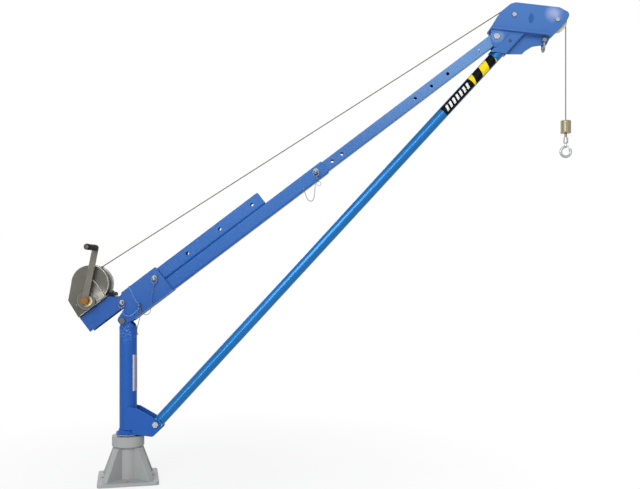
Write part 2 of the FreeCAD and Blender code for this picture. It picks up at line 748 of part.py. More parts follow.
def head_ears():
    """Ears beside the boom's tip, drawn down along the socket that they lap."""
    fold = math.radians(STRUT_TILT - HEAD_TILT)
    lap = TIP_ABOVE_STRUT_AXIS - SOCKET_SIZE / 2 + EAR_LAP
    low_at = (lap - EAR_DROP * math.cos(fold)) / math.sin(fold)
    top_at = (lap + HEAD_BASE_LOW * math.cos(fold)) / math.sin(fold)
    side = [(-EAR_R - 4, HEAD_BASE_LOW), (-EAR_R - 2, -EAR_R / 3, EAR_R / 2), (-EAR_R / 3, -EAR_DROP, 5)]
    side += [(low_at, -EAR_DROP), (top_at, HEAD_BASE_LOW)]
    ears = []
    for y_low in (-ear_out, ear_in):
        ear = plate(side, y_low, y_low + HEAD_PLATE_THICK)
        ears.append(ear.cut(rod(0, 0, MAIN_BOLT_R + SEAT_CLEAR, -200, 200)))
    return ears


def strut_socket():
    """Square socket along the strut, trimmed level with the head's base at its top and mouth."""
    span = HEAD_BASE_END
    tube = section_tube(STRUT_END - span, STRUT_END + span, 0, SOCKET_SIZE, SOCKET_SIZE,
                        SOCKET_WALL, TUBE_CORNER + 2)
    tube = in_strut([tube])[0]
    band = Part.makeBox(4 * span, 2 * SOCKET_SIZE, HEAD_BASE_LOW - SOCKET_LOW,
                        V(-2 * span, -SOCKET_SIZE, SOCKET_LOW))
    tube = tube.common(in_head([band])[0])
    for ear in in_head(head_ears()):
        tube = tube.cut(ear)
    return tube.Solids[0]


def anchor_plate():
    side = [(96, HEAD_BASE_LOW), (HEAD_BASE_END - 2, HEAD_BASE_LOW), (229, -4, 6), (203, -7), (170, -15, 40)]
    side += [(140, -38, 40), (127, -54), (60, -62), (60, -40)]
    body = plate(side, -ANCHOR_THICK / 2, ANCHOR_THICK / 2)
    body = in_head([body])[0]
    half = SOCKET_SIZE / 2 + SEAT_CLEAR / 2
    span = HEAD_BASE_END
    block = Part.makeBox(4 * span, SOCKET_SIZE, 2 * half, V(STRUT_END - 2 * span, -SOCKET_SIZE / 2, -half))
    body = body.cut(in_strut([block])[0])
    hole = in_head([rod(ANCHOR_HOLE_AT, ANCHOR_HOLE_HIGH, SHACKLE_PIN_R + PIN_CLEAR, -50, 50)])[0]
    body = body.cut(hole)
    return max(body.Solids, key=lambda solid: solid.BoundBox.XMax)


def sheave(along):
    rim = SHEAVE_PITCH_R + SHEAVE_RIM
    half = SHEAVE_WIDTH / 2
    floor = SHEAVE_PITCH_R - ROPE_R - ROPE_CLEAR
    groove = ROPE_R + ROPE_CLEAR + 0.4
    bore = AXLE_R + SHAFT_CLEAR
    hub = AXLE_R + SHEAVE_BORE_WALL
    side = [(bore, -half), (hub, -half), (hub + 3, -half + 4), (floor - 10, -half + 4), (floor - 6, -half)]
    side += [(rim, -half), (rim, -groove - 2), (floor + ROPE_R, -groove), (floor, -1)]
    side += [(floor, 1), (floor + ROPE_R, groove), (rim, groove + 2), (rim, half)]
    side += [(floor - 6, half), (floor - 10, half - 4), (hub + 3, half - 4), (hub, half), (bore, half)]
    face = Part.Face(outline(side))
    body = face.revolve(V(0, 0, 0), V(0, 0, 1), 360)
    body.rotate(V(0, 0, 0), V(1, 0, 0), 90)
    body.translate(V(along, 0, SHEAVE_LINE))
    return body


def sheave_axles():
    axles = []
    for along in (REAR_SHEAVE_AT, FRONT_SHEAVE_AT):
        axles.extend(bolt_and_nut(along, SHEAVE_LINE, AXLE_R, -ear_out, ear_out))
    return axles


def sheave_spacers():
    gap = SIDE_CLEAR
    rings = []
    for along in (REAR_SHEAVE_AT, FRONT_SHEAVE_AT):
        outer = AXLE_R + SHEAVE_BORE_WALL - 1
        low = SHEAVE_WIDTH / 2 + gap
        rings.append(sleeve(along, SHEAVE_LINE, outer, AXLE_R + SEAT_CLEAR, low, ear_in))
        rings.append(sleeve(along, SHEAVE_LINE, outer, AXLE_R + SEAT_CLEAR, -ear_in, -low))
    return rings


# Shackle


def shackle_bow():
    eye = head_point(ANCHOR_HOLE_AT, ANCHOR_HOLE_HIGH)
    low = eye.z - SHACKLE_LEG
    edges = [Part.LineSegment(V(eye.x, -SHACKLE_HALF, eye.z), V(eye.x, -SHACKLE_HALF, low)).toShape()]
    bottom = V(eye.x, 0, low - SHACKLE_HALF)
    edges.append(Part.Arc(V(eye.x, -SHACKLE_HALF, low), bottom, V(eye.x, SHACKLE_HALF, low)).toShape())
    edges.append(Part.LineSegment(V(eye.x, SHACKLE_HALF, low), V(eye.x, SHACKLE_HALF, eye.z)).toShape())
    bow = pipe(edges, SHACKLE_WIRE_R)
    for side in (-1, 1):
        y = side * SHACKLE_HALF - SHACKLE_WIRE_R
        bow = bow.fuse(rod(eye.x, eye.z, SHACKLE_PIN_R * 2, y, y + 2 * SHACKLE_WIRE_R))
    return bow.cut(rod(eye.x, eye.z, SHACKLE_PIN_R + SEAT_CLEAR, -100, 100)).removeSplitter()


def shackle_pin():
    eye = head_point(ANCHOR_HOLE_AT, ANCHOR_HOLE_HIGH)
    reach = SHACKLE_HALF + SHACKLE_WIRE_R
    body = rod(eye.x, eye.z, SHACKLE_PIN_R, -reach - 1, reach + 4)
    return body.fuse(rod(eye.x, eye.z, SHACKLE_PIN_R * 1.7, -reach - 6, -reach - 1)).removeSplitter()


# Rope


def rope_places():
    """Centres of the drum and sheaves, and the direction of the long run."""
    drum = boom_point(DRUM_AT, drum_high)
    rear = head_point(REAR_SHEAVE_AT, SHEAVE_LINE)
    front = head_point(FRONT_SHEAVE_AT, SHEAVE_LINE)
    lean = math.degrees(math.asin((SHEAVE_PITCH_R - wind_r) / drum.distanceToPoint(rear)))
    return drum, rear, front, slope(drum, rear) + lean


wind_end_y = -(WIND_TURNS * WIND_PITCH) / 2 + WIND_TURNS * WIND_PITCH


def rope_run():
    drum, rear, front, angle = rope_places()
    start = ring_point(drum, wind_r, angle + 90) + V(0, wind_end_y, 0)
    end = ring_point(rear, SHEAVE_PITCH_R, angle + 90)
    ahead = (end - start).normalize()
    start = start + ahead * (2 * ROPE_R + SEAT_CLEAR)
    return pipe([Part.LineSegment(start, end).toShape()], ROPE_R)


def rope_over_head():
    drum, rear, front, angle = rope_places()
    level = slope(rear, front)
    r = SHEAVE_PITCH_R
    edges = [Part.Arc(ring_point(rear, r, angle + 90), ring_point(rear, r, (angle + level) / 2 + 90),
                      ring_point(rear, r, level + 90)).toShape()]
    edges.append(Part.LineSegment(ring_point(rear, r, level + 90), ring_point(front, r, level + 90)).toShape())
    edges.append(Part.Arc(ring_point(front, r, level + 90), ring_point(front, r, (level + 90 + FALL_ARC) / 2),
                          ring_point(front, r, FALL_ARC)).toShape())
    return pipe(edges, ROPE_R)


def rope_drop():
    drum, rear, front, angle = rope_places()
    r = SHEAVE_PITCH_R
    start = ring_point(front, r, FALL_ARC)
    side = ring_point(front, r, 0)
    edges = [Part.Arc(start, ring_point(front, r, FALL_ARC / 2), side).toShape()]
    low = WEIGHT_TOP - WEIGHT_HEIGHT - FERRULE_LENGTH / 2
    edges.append(Part.LineSegment(side, V(side.x, 0, low)).toShape())
    return pipe(edges, ROPE_R)


def biarc(p0, t0, p1, t1):
    """Two arcs that leave p0 along t0 and reach p1 along t1."""
    chord = p1 - p0
    both = t0 + t1
    dot = chord.dot(both)
    spare = 2 * (1 - t0.dot(t1))
    reach = (-dot + math.sqrt(dot * dot + spare * chord.dot(chord))) / spare
    first = p0 + t0 * reach
    second = p1 - t1 * reach
    joint = (first + second) * 0.5
    edges = []
    for a, corner, b in ((p0, first, joint), (joint, second, p1)):
        start, middle, end = corner_arc(a, corner, b, arc_radius(a, corner, b))
        edges.append(Part.Arc(a, middle, b).toShape())
    return edges


def arc_radius(a, corner, b):
    """Radius of the arc that touches both equal legs of a corner at their ends."""
    half = (a - corner).getAngle(b - corner) / 2
    return (a - corner).Length * math.tan(half)


def rope_winding():
    """Outer layer of rope on the drum: one unbroken tube that leaves along the long run."""
    drum, rear, front, angle = rope_places()
    start_y = wind_end_y - WIND_TURNS * WIND_PITCH
    rise = WIND_PITCH / (2 * math.pi)

    def on_helix(turn):
        degrees = angle + 90 + 360 * (WIND_TURNS - turn)
        place_at = ring_point(drum, wind_r, degrees) + V(0, start_y + WIND_PITCH * turn, 0)
        around = math.radians(degrees)
        ahead = V(math.sin(around), rise / wind_r, -math.cos(around))
        return place_at, ahead.normalize()

    edges = []
    steps = WIND_TURNS * QUARTERS
    samples = []
    for i in range(steps):
        p0, t0 = on_helix(i / QUARTERS)
        p1, t1 = on_helix((i + 1) / QUARTERS)
        edges.extend(biarc(p0, t0, p1, t1))
    for edge in edges:
        samples.append(edge.discretize(9))
    p0, t0 = on_helix(0)
    p1, t1 = on_helix(WIND_TURNS)
    edges.insert(0, Part.LineSegment(p0 - t0 * (2 * ROPE_R), p0).toShape())
    edges.append(Part.LineSegment(p1, p1 + t1 * (2 * ROPE_R)).toShape())
    least = min(a.distanceToPoint(b) for i, one in enumerate(samples) for two in samples[i + 6:i + 12]
                for a in one for b in two)
    print("rope winding least gap to itself", round(least - 2 * ROPE_R, 2))
    return pipe(edges, ROPE_R)


# Weight and hook


def fall_x():
    return head_point(FRONT_SHEAVE_AT, SHEAVE_LINE).x + SHEAVE_PITCH_R


weight_low = WEIGHT_TOP - WEIGHT_HEIGHT
ferrule_low = weight_low - FERRULE_LENGTH
swivel_low = ferrule_low - SWIVEL_HEIGHT
bowl_z = swivel_low - HOOK_NECK - HOOK_BOWL_R


def overhaul_weight():
    body = post(fall_x(), 0, WEIGHT_R, weight_low, WEIGHT_TOP)
    rims = [edge for edge in body.Edges if abs(edge.Length - 2 * math.pi * WEIGHT_R) < 1e-3]
    body = body.makeFillet(3, rims)
    return body.cut(post(fall_x(), 0, ROPE_R + ROPE_CLEAR, weight_low - 1, WEIGHT_TOP + 1))


def rope_ferrule():
    body = post(fall_x(), 0, FERRULE_R, ferrule_low, weight_low)
    return body.cut(post(fall_x(), 0, ROPE_R + SEAT_CLEAR, weight_low - FERRULE_LENGTH / 2, weight_low + 1))


def hook_swivel():
    """Swivel eye under the ferrule, hollow to take the hook's headed shank."""
    x = fall_x()
    wall = 3
    body = post(x, 0, SWIVEL_R, swivel_low, ferrule_low)
    chamber = HOOK_SHANK_R + 3 + SHAFT_CLEAR
    body = body.cut(post(x, 0, chamber, swivel_low + wall + 4, ferrule_low - wall))
    return body.cut(post(x, 0, HOOK_SHANK_R + SHAFT_CLEAR, swivel_low - 1, swivel_low + wall + 5))


def load_hook():
    x = fall_x()
    shank = post(x, 0, HOOK_SHANK_R, bowl_z + HOOK_BOWL_R, swivel_low + 7 + PIN_CLEAR)
    knob = post(x, 0, HOOK_SHANK_R + 3, swivel_low + 7 + PIN_CLEAR, ferrule_low - 3 - 2)
    centre = V(x, 0, bowl_z)
    sweep = 270 + HOOK_TIP_ANGLE
    ring = Part.makeTorus(HOOK_BOWL_R, HOOK_WIRE_R, V(0, 0, 0), V(0, 0, 1), -180, 180, sweep)
    ring.rotate(V(0, 0, 0), V(1, 0, 0), 90)
    ring.rotate(V(0, 0, 0), DOWN_Y, 90)
    ring.translate(centre)
    tip = ring_point(centre, HOOK_BOWL_R, HOOK_TIP_ANGLE)
    body = shank.fuse(knob).fuse(ring).fuse(Part.makeSphere(HOOK_WIRE_R, tip))
    crown = ring_point(centre, HOOK_BOWL_R, 90)
    body = body.fuse(Part.makeSphere(HOOK_WIRE_R, crown))
    pivot = latch_pivot()
    lug = rod(pivot.x, pivot.z, 3.5, -LATCH_WIDTH / 2 + 2.4, LATCH_WIDTH / 2 - 2.4)
    neck = plate([(x, pivot.z - 3), (pivot.x, pivot.z - 3.4), (pivot.x, pivot.z + 3.4), (x, pivot.z + 4)],
                 -LATCH_WIDTH / 2 + 2.4, LATCH_WIDTH / 2 - 2.4)
    pin = rod(pivot.x, pivot.z, 1.5, -LATCH_WIDTH / 2 - 1, LATCH_WIDTH / 2 + 1)
    return body.fuse(lug).fuse(neck).fuse(pin).removeSplitter()


def latch_pivot():
    return V(fall_x() + HOOK_WIRE_R + 4.5, 0, bowl_z + HOOK_BOWL_R + 2)


def hook_latch():
    """Sheet latch with two cheeks on the hook's lug, closing against the inside of the hook's tip."""
    pivot = latch_pivot()
    tip = ring_point(V(fall_x(), 0, bowl_z), HOOK_BOWL_R - HOOK_WIRE_R - LATCH_THICK - 0.4, HOOK_TIP_ANGLE - 6)
    down = (tip - pivot).normalize()
    across = V(down.z, 0, -down.x)
    start = pivot + down * 5.5
    corners = [start - across * LATCH_THICK, tip - across * LATCH_THICK, tip + down * 3 - across * LATCH_THICK]
    corners += [tip + down * 3, start]
    tongue = plate([(p.x, p.z) for p in corners], -LATCH_WIDTH / 2, LATCH_WIDTH / 2)
    cheeks = []
    for y_low in (-LATCH_WIDTH / 2, LATCH_WIDTH / 2 - 2):
        cheek = rod(pivot.x, pivot.z, 4, y_low, y_low + 2)
        bar = [pivot - across * 4, start + down * 2 - across * LATCH_THICK, start + down * 2, pivot + across * 3]
        cheek = cheek.fuse(plate([(p.x, p.z) for p in bar], y_low, y_low + 2))
        cheeks.append(cheek.cut(rod(pivot.x, pivot.z, 1.5 + SHAFT_CLEAR, y_low - 1, y_low + 3)))
    return tongue.fuse(cheeks).removeSplitter()


# Winch


def winch_bolt_places():
    return [(along, y) for along in (-122, -52) for y in (-20, 20)]


def cover_side(radius, inset):
    """The gear side's outline: a disc round the drum and a shoulder over the crank shaft."""
    low = channel_top + inset
    shoulder = channel_top + WINCH_REAR_TOP
    top = ring_point(V(DRUM_AT, 0, drum_high), radius, 125)
    low_front = DRUM_AT + radius * 0.3
    side = [(WINCH_REAR + inset, low), (low_front, low), (DRUM_AT, drum_high), (top.x, top.z)]
    side.append((WINCH_REAR + 8 + inset, shoulder, 8))
    return side


def cover_solid(radius, inset, y_low, y_high):
    disc = rod(DRUM_AT, drum_high, radius, y_low, y_high)
    body = plate(cover_side(radius, inset), y_low, y_high).fuse(disc)
    span = 2 * COVER_R
    floor = Part.makeBox(4 * span, 4 * cover_front, span, V(-2 * span, -2 * cover_front, channel_top + inset - span))
    return body.cut(floor).removeSplitter()


def winch_frame():
    near = cover_solid(COVER_R, 0, -plate_out, -WINCH_INNER_HALF)
    base = Part.makeBox(WINCH_FRONT - WINCH_REAR, 2 * plate_out, WINCH_BASE_THICK,
                        V(WINCH_REAR, -plate_out, channel_top))
    far = plate([(WINCH_REAR + 40, channel_top), (WINCH_FRONT, channel_top), (WINCH_FRONT, channel_top + 15, 4),
                 (DRUM_AT + 30, drum_high, 20), (DRUM_AT + 24, drum_high + 28, 20),
                 (DRUM_AT - 24, drum_high + 28, 20), (DRUM_AT - 30, drum_high, 20)],
                WINCH_INNER_HALF, plate_out)
    body = near.fuse(base).fuse(far)
    body = body.cut(rod(DRUM_AT, drum_high, DRUM_HUB_R + SIDE_CLEAR, -plate_out - 1, -WINCH_INNER_HALF + 1))
    body = body.cut(rod(DRUM_AT, drum_high, DRUM_AXLE_R + SEAT_CLEAR, 0, plate_out + 1))
    body = body.cut(rod(crank_at, crank_high, CRANK_SHAFT_R + SHAFT_CLEAR, -plate_out - 1, 0))
    for along, y in winch_bolt_places():
        body = body.cut(post(along, y, 4 + SEAT_CLEAR, channel_top - 1, channel_top + 20))
    return body.removeSplitter()


def winch_cover():
    """Pressed cover over the gears, with a raised pad that carries the pawl's stud."""
    skin = cover_solid(COVER_R, 0, -cover_front, -plate_out)
    skin = skin.cut(cover_solid(COVER_R - COVER_SHEET, COVER_SHEET, -cover_front + COVER_SHEET, -plate_out + 1))
    pad = plate([(-35, channel_top + 4, 3), (7, channel_top + 4, 3), (7, drum_high + 14, 6), (-35, crank_high + 24, 6)],
                -pad_front, -cover_front)
    skin = skin.fuse(pad)
    skin = skin.cut(rod(DRUM_AT, drum_high, DRUM_AXLE_R + SEAT_CLEAR, -200, -plate_out))
    skin = skin.cut(rod(crank_at, crank_high, CRANK_SHAFT_R + SHAFT_CLEAR, -200, -plate_out))
    stud = pawl_place()
    skin = skin.fuse(rod(stud.x, stud.z, 3, -ratchet_outer - 3, -cover_front))
    return skin.removeSplitter()


def winch_drum():
    body = rod(DRUM_AT, drum_high, BARREL_R, -DRUM_HALF, DRUM_HALF)
    for y_low in (-DRUM_HALF - DRUM_FLANGE, DRUM_HALF):
        body = body.fuse(rod(DRUM_AT, drum_high, DRUM_FLANGE_R, y_low, y_low + DRUM_FLANGE))
    hub_end = cover_front - COVER_SHEET - AXLE_COLLAR - SIDE_CLEAR
    body = body.fuse(rod(DRUM_AT, drum_high, DRUM_HUB_R, -hub_end, -DRUM_HALF))
    body = body.cut(rod(DRUM_AT, drum_high, DRUM_AXLE_R + SHAFT_CLEAR, -200, 200))
    return body.removeSplitter()


def drum_axle():
    reach = plate_out + 12
    inside = cover_front - COVER_SHEET - SEAT_CLEAR
    body = rod(DRUM_AT, drum_high, DRUM_AXLE_R, -cover_front, reach)
    body = body.fuse(rod(DRUM_AT, drum_high, DRUM_AXLE_R + 5, -inside, -inside + AXLE_COLLAR))
    nut = hex_bar(DRUM_AT, drum_high, 30, plate_out, plate_out + 10)
    return [body.removeSplitter(), nut.cut(rod(DRUM_AT, drum_high, DRUM_AXLE_R + SEAT_CLEAR, 0, 200))]


def involute(base, radius):
    """Polar angle of an involute at a radius, in radians."""
    roll = math.sqrt(max(radius ** 2 / base ** 2 - 1, 0))
    return roll - math.atan(roll)


def gear_outline(x, z, teeth, addendum, first_angle):
    """Outline of an involute gear with a tooth centred on first_angle."""
    pitch_r = GEAR_MODULE * teeth / 2
    base = pitch_r * math.cos(math.radians(PRESSURE_ANGLE))
    tip = pitch_r + addendum
    root = pitch_r - DEDENDUM
    half = (math.pi * GEAR_MODULE / 2 - BACKLASH / 2) / (2 * pitch_r) + involute(base, pitch_r)
    low = max(base, root)
    flank = []
    for i in range(5):
        radius = low + (tip - low) * i / 4
        flank.append((radius, half - involute(base, radius)))
    if root < base:
        flank.insert(0, (root, half))
    profile = [(radius, -angle) for radius, angle in flank] + [(radius, angle) for radius, angle in flank[::-1]]
    points = []
    for tooth in range(teeth):
        centre = math.radians(first_angle) + 2 * math.pi * tooth / teeth
        for radius, angle in profile:
            points.append((x + radius * math.cos(centre + angle), z + radius * math.sin(centre + angle)))
    return points


def drum_gear():
    y_high = -plate_out - 2
    gap_angle = PINION_DROP_ANGLE + 180 / GEAR_TEETH
    points = gear_outline(DRUM_AT, drum_high, GEAR_TEETH, GEAR_ADDENDUM, gap_angle)
    body = plate(points, y_high - GEAR_WIDTH, y_high)
    return body.cut(rod(DRUM_AT, drum_high, DRUM_HUB_R + SEAT_CLEAR / 2, -200, 0))


def crank_shaft():
    """Shaft with the pinion cut on it."""
    y_high = -plate_out - 1
    points = gear_outline(crank_at, crank_high, PINION_TEETH, PINION_ADDENDUM, PINION_DROP_ANGLE + 180)
    pinion = plate(points, y_high - GEAR_WIDTH - 2, y_high)
    return rod(crank_at, crank_high, CRANK_SHAFT_R, -arm_outer, -WINCH_INNER_HALF).fuse(pinion).removeSplitter()


def brake_discs():
    discs = []
    bore = CRANK_SHAFT_R + SEAT_CLEAR / 2
    for inner, radius in ((disc_inner, DISC_R), (disc_outer, BRAKE_PLATE_R)):
        discs.append(sleeve(crank_at, crank_high, radius, bore, -inner - DISC_THICK, -inner))
    return discs


def ratchet_wheel():
    points = []
    for tooth in range(RATCHET_TEETH):
        tip_at_angle = 360 / RATCHET_TEETH * tooth
        for degrees, radius in ((tip_at_angle, RATCHET_R), (tip_at_angle + 2, RATCHET_R - RATCHET_DEPTH)):
            point = ring_point(V(crank_at, 0, crank_high), radius, degrees)
            points.append((point.x, point.z))
    body = plate(points, -ratchet_outer, -ratchet_inner)
    return body.cut(rod(crank_at, crank_high, CRANK_SHAFT_R + SHAFT_CLEAR, -200, 0))


def pawl_place():
    return ring_point(V(crank_at, 0, crank_high), RATCHET_R + 14, -18)


def pawl():
    """Sprung pawl on the cover's stud, its nose in the ratchet's tooth gap."""
    pivot = pawl_place()
    centre = V(crank_at, 0, crank_high)
    nose = ring_point(centre, RATCHET_R - RATCHET_DEPTH + 1.6, 14)
    heel = ring_point(centre, RATCHET_R + 1.2, 16)
    back = ring_point(centre, RATCHET_R + 8, 4)
    bar = [(pivot.x - 2.5, pivot.z - 1), (nose.x, nose.z), (heel.x, heel.z), (back.x, back.z), (pivot.x + 5, pivot.z + 2)]
    body = plate(bar, -ratchet_outer + 0.5, -pad_front - PIN_CLEAR)
    body = body.fuse(rod(pivot.x, pivot.z, 7, -ratchet_outer + 0.5, -pad_front - PIN_CLEAR))
    return body.cut(rod(pivot.x, pivot.z, 3 + SHAFT_CLEAR, -200, 0)).removeSplitter()


def grip_place():
    return ring_point(V(crank_at, 0, crank_high), CRANK_RADIUS, CRANK_ANGLE)


def crank_arm():
    """Flat crank with a hub on the shaft and an eye for the grip's bolt."""
    end = grip_place()
    half = CRANK_WIDTH / 2
    bar = Part.makeBox(CRANK_RADIUS, CRANK_THICK, CRANK_WIDTH, V(0, -arm_outer, -half))
    bar = place(bar, V(crank_at, 0, crank_high), CRANK_ANGLE)
    body = bar.fuse(rod(crank_at, crank_high, CRANK_HUB_R, -arm_outer, -hub_inner))
    body = body.fuse(rod(end.x, end.z, half, -arm_outer, -arm_inner))
    body = body.cut(rod(crank_at, crank_high, CRANK_SHAFT_R + SEAT_CLEAR / 2, -200, 0))
    return body.cut(rod(end.x, end.z, GRIP_BOLT_R + SEAT_CLEAR / 2, -200, 0)).removeSplitter()


def grip_bolt():
    end = grip_place()
    tail = arm_outer + GRIP_LENGTH + 2 * SIDE_CLEAR
    body = rod(end.x, end.z, GRIP_BOLT_R, -tail, -arm_inner)
    return body.fuse(rod(end.x, end.z, GRIP_BOLT_R + 3, -tail - 3, -tail)).removeSplitter()


def grip():
    end = grip_place()
    low = -arm_outer - SIDE_CLEAR - GRIP_LENGTH
    body = rod(end.x, end.z, GRIP_R, low, -arm_outer - SIDE_CLEAR)
    rims = [edge for edge in body.Edges if abs(edge.Length - 2 * math.pi * GRIP_R) < 1e-3]
    body = body.makeFillet(4, rims)
    return body.cut(rod(end.x, end.z, GRIP_BOLT_R + SHAFT_CLEAR, -400, 0))


def crank_cap():
    body = rod(crank_at, crank_high, CAP_R, -arm_outer - CAP_HEIGHT, -arm_outer)
    front = [edge for edge in body.Edges if abs(edge.BoundBox.YMax + arm_outer + CAP_HEIGHT) < 1e-3]
    return body.makeFillet(2.5, front)


def winch_bolts():
    bolts = []
    low = channel_top - CHANNEL_WALL
    seat = channel_top + WINCH_BASE_THICK
    for along, y in winch_bolt_places():
        shank = post(along, y, 4, low - 8, seat)
        head = hex_bar(0, 0, 13, 0, 5)
        head.rotate(V(0, 0, 0), V(1, 0, 0), 90)
        head.translate(V(along, y, seat))
        bolts.append(shank.fuse(head).removeSplitter())
    return bolts


# Lanyard routes, in the crane's own frame, chosen by hand between the rings and their anchors

saddle_face = -saddle_out - PIN_CLEAR
pin_b_at = RAIL_HOLE_FIRST + RAIL_HOLE_PITCH
boss_face = -outer_half - BOSS_LENGTH - PIN_CLEAR
eye = eye_place()
ring_a = ring_foot(RAIL_HOLE_FIRST, rail_hole_high, saddle_face)
ring_b = ring_foot(pin_b_at, rail_hole_high, saddle_face)
ring_c = ring_foot(lock_at, boom_axis, boss_face - lock_travel)
clip_c = boom_point(lock_at - 84, boom_axis - outer_half + 6, -outer_half)

LANYARD_A = [ring_a - V(0, 0, 0.4), ring_a + V(3, -1, -16), ring_a + V(13, -1, -29), ring_a + V(28, 0, -35)]
LANYARD_A += [ring_a + V(44, 2, -32), ring_a + V(56, 4, -20), eye + V(-5, -13, -24), eye + V(0, -13, -9.4)]
LANYARD_B = [eye + V(3.2, -14.5, -8.8), eye + V(8, -15, -24), eye + V(20, -15, -40), eye + V(36, -15, -44)]
LANYARD_B += [eye + V(49, -15, -32), eye + V(54, -15, -6), ring_b + V(-10, 0, -42), ring_b + V(-3, 0, -18)]
LANYARD_B.append(ring_b - V(0, 0, 0.4))
LANYARD_C = [clip_c + V(0, -0.3, 0), clip_c + V(2, -14, -8), clip_c + V(7, -24, -28), clip_c + V(16, -36, -50)]
LANYARD_C += [clip_c + V(31, -54, -61), clip_c + V(46, -72, -48), ring_c + V(-4, 4, -44), ring_c + V(-1, 1, -18)]
LANYARD_C.append(ring_c - V(0, 0, 0.4))

# Write every piece

save("pedestal_casting", [pedestal_casting()])
save("lower_bush", [bush(SPIGOT_FOOT_Z, SPIGOT_FOOT_Z + BUSH_LENGTH)])
save("upper_bush", [flanged_bush(PEDESTAL_TOP - BUSH_LENGTH, PEDESTAL_TOP)])
save("thrust_washer", [thrust_washer()])
save("swivel_spigot", [swivel_spigot()])
save("mast_tube", [mast_tube()])
save("foot_bracket", [foot_bracket()])
save("mast_head", [mast_head()])
save("strut_foot_bolt", bolt_and_nut(FOOT_X, FOOT_Z, MAIN_BOLT_R, -cheek_out, cheek_out))
save("boom_pivot_bolt", bolt_and_nut(PIVOT_X, PIVOT_Z, MAIN_BOLT_R, -saddle_out - PIN_CLEAR, saddle_out + PIN_CLEAR))
save("outer_tube", in_boom([outer_tube()]))
save("winch_rail", in_boom([winch_rail()]))
save("winch_channel", in_boom([winch_channel()]))
save("saddle_plate_near", in_boom([saddle_plate(-saddle_out)]))
save("saddle_plate_far", in_boom([saddle_plate(saddle_in)]))
save("inner_tube", in_boom([inner_tube()]))
save("lock_pin_rear", pin_with_ring(RAIL_HOLE_FIRST, rail_hole_high, saddle_face, saddle_out + PIN_OVERHANG))
save("lock_pin_front", pin_with_ring(pin_b_at, rail_hole_high, saddle_face, saddle_out + PIN_OVERHANG))
save("extension_pin", pin_with_ring(lock_at, boom_axis, boss_face - lock_travel,
                                    outer_half + PIN_OVERHANG - lock_travel))
save("lanyard_eye", lanyard_eye())
save("lanyard_rear", [lanyard("lanyard_rear", LANYARD_A)])
save("lanyard_front", [lanyard("lanyard_front", LANYARD_B)])
save("lanyard_extension", [lanyard("lanyard_extension", LANYARD_C)])
save("strut_tube", in_strut([strut_tube()]))
save("strut_foot", in_strut([strut_foot()]))
save("head_plate_near", in_head([head_side(-ear_out)]))
save("head_plate_far", in_head([head_side(ear_in)]))
save("head_base", in_head([head_base()]))
save("strut_socket", [strut_socket()])
save("anchor_plate", [anchor_plate()])
save("head_pin", in_head(bolt_and_nut(0, 0, MAIN_BOLT_R, -ear_out, ear_out)))
save("sheave_axles", in_head(sheave_axles()))
save("sheave_spacers", in_head(sheave_spacers()))
save("rear_sheave", in_head([sheave(REAR_SHEAVE_AT)]))
save("front_sheave", in_head([sheave(FRONT_SHEAVE_AT)]))
save("shackle_bow", [shackle_bow()])
save("shackle_pin", [shackle_pin()])
save("rope_winding", [rope_winding()])
save("rope_run", [rope_run()])
save("rope_over_head", [rope_over_head()])
save("rope_drop", [rope_drop()])
save("overhaul_weight", [overhaul_weight()])
save("rope_ferrule", [rope_ferrule()])
save("hook_swivel", [hook_swivel()])
save("load_hook", [load_hook()])
save("hook_latch", [hook_latch()])
save("winch_frame", in_boom([winch_frame()]))
save("winch_cover", in_boom([winch_cover()]))
save("winch_drum", in_boom([winch_drum()]))
save("drum_axle", in_boom(drum_axle()))
save("drum_gear", in_boom([drum_gear()]))
save("crank_shaft", in_boom([crank_shaft()]))
save("brake_discs", in_boom(brake_discs()))
save("ratchet_wheel", in_boom([ratchet_wheel()]))
save("pawl", in_boom([pawl()]))
save("crank_arm", in_boom([crank_arm(), grip_bolt()]))
save("grip", in_boom([grip()]))
save("crank_cap", in_boom([crank_cap()]))
save("winch_bolts", in_boom(winch_bolts()))

print("boom tilt", round(BOOM_TILT, 3), "strut tilt", round(STRUT_TILT, 3), "boom", round(boom_length, 2))
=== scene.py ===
import bmesh
import bpy
import json
import math
from mathutils import Matrix, Vector


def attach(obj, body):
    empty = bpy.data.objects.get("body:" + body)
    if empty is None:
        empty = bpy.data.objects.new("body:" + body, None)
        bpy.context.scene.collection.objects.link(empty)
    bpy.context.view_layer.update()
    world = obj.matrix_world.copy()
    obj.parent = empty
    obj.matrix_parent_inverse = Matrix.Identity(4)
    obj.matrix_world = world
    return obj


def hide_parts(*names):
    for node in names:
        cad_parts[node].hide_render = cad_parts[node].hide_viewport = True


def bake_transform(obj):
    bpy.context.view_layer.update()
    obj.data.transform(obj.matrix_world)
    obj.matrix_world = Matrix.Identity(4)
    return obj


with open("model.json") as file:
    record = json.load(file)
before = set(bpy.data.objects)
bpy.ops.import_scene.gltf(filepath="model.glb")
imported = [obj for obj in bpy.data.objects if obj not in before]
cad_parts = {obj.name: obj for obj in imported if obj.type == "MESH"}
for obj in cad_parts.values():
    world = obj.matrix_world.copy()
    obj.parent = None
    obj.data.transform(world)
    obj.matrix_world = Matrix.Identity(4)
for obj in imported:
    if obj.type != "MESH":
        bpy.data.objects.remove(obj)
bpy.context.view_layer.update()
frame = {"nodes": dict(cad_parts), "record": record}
nodes = frame["nodes"]

# Set-out in metres, the same as the solids'
PIVOT = Vector((-0.015, 0, 0.706))
TIP = Vector((1.627, 0, 1.955))
FOOT = Vector((0.130, 0, 0.251))
BOOM_TILT = math.radians(37.1003)
STRUT_TILT = math.radians(47.351)
HEAD_ANGLE = -6.5
HEAD_TILT = math.radians(HEAD_ANGLE)
NEAR_SIDE = (0, -1, 0)

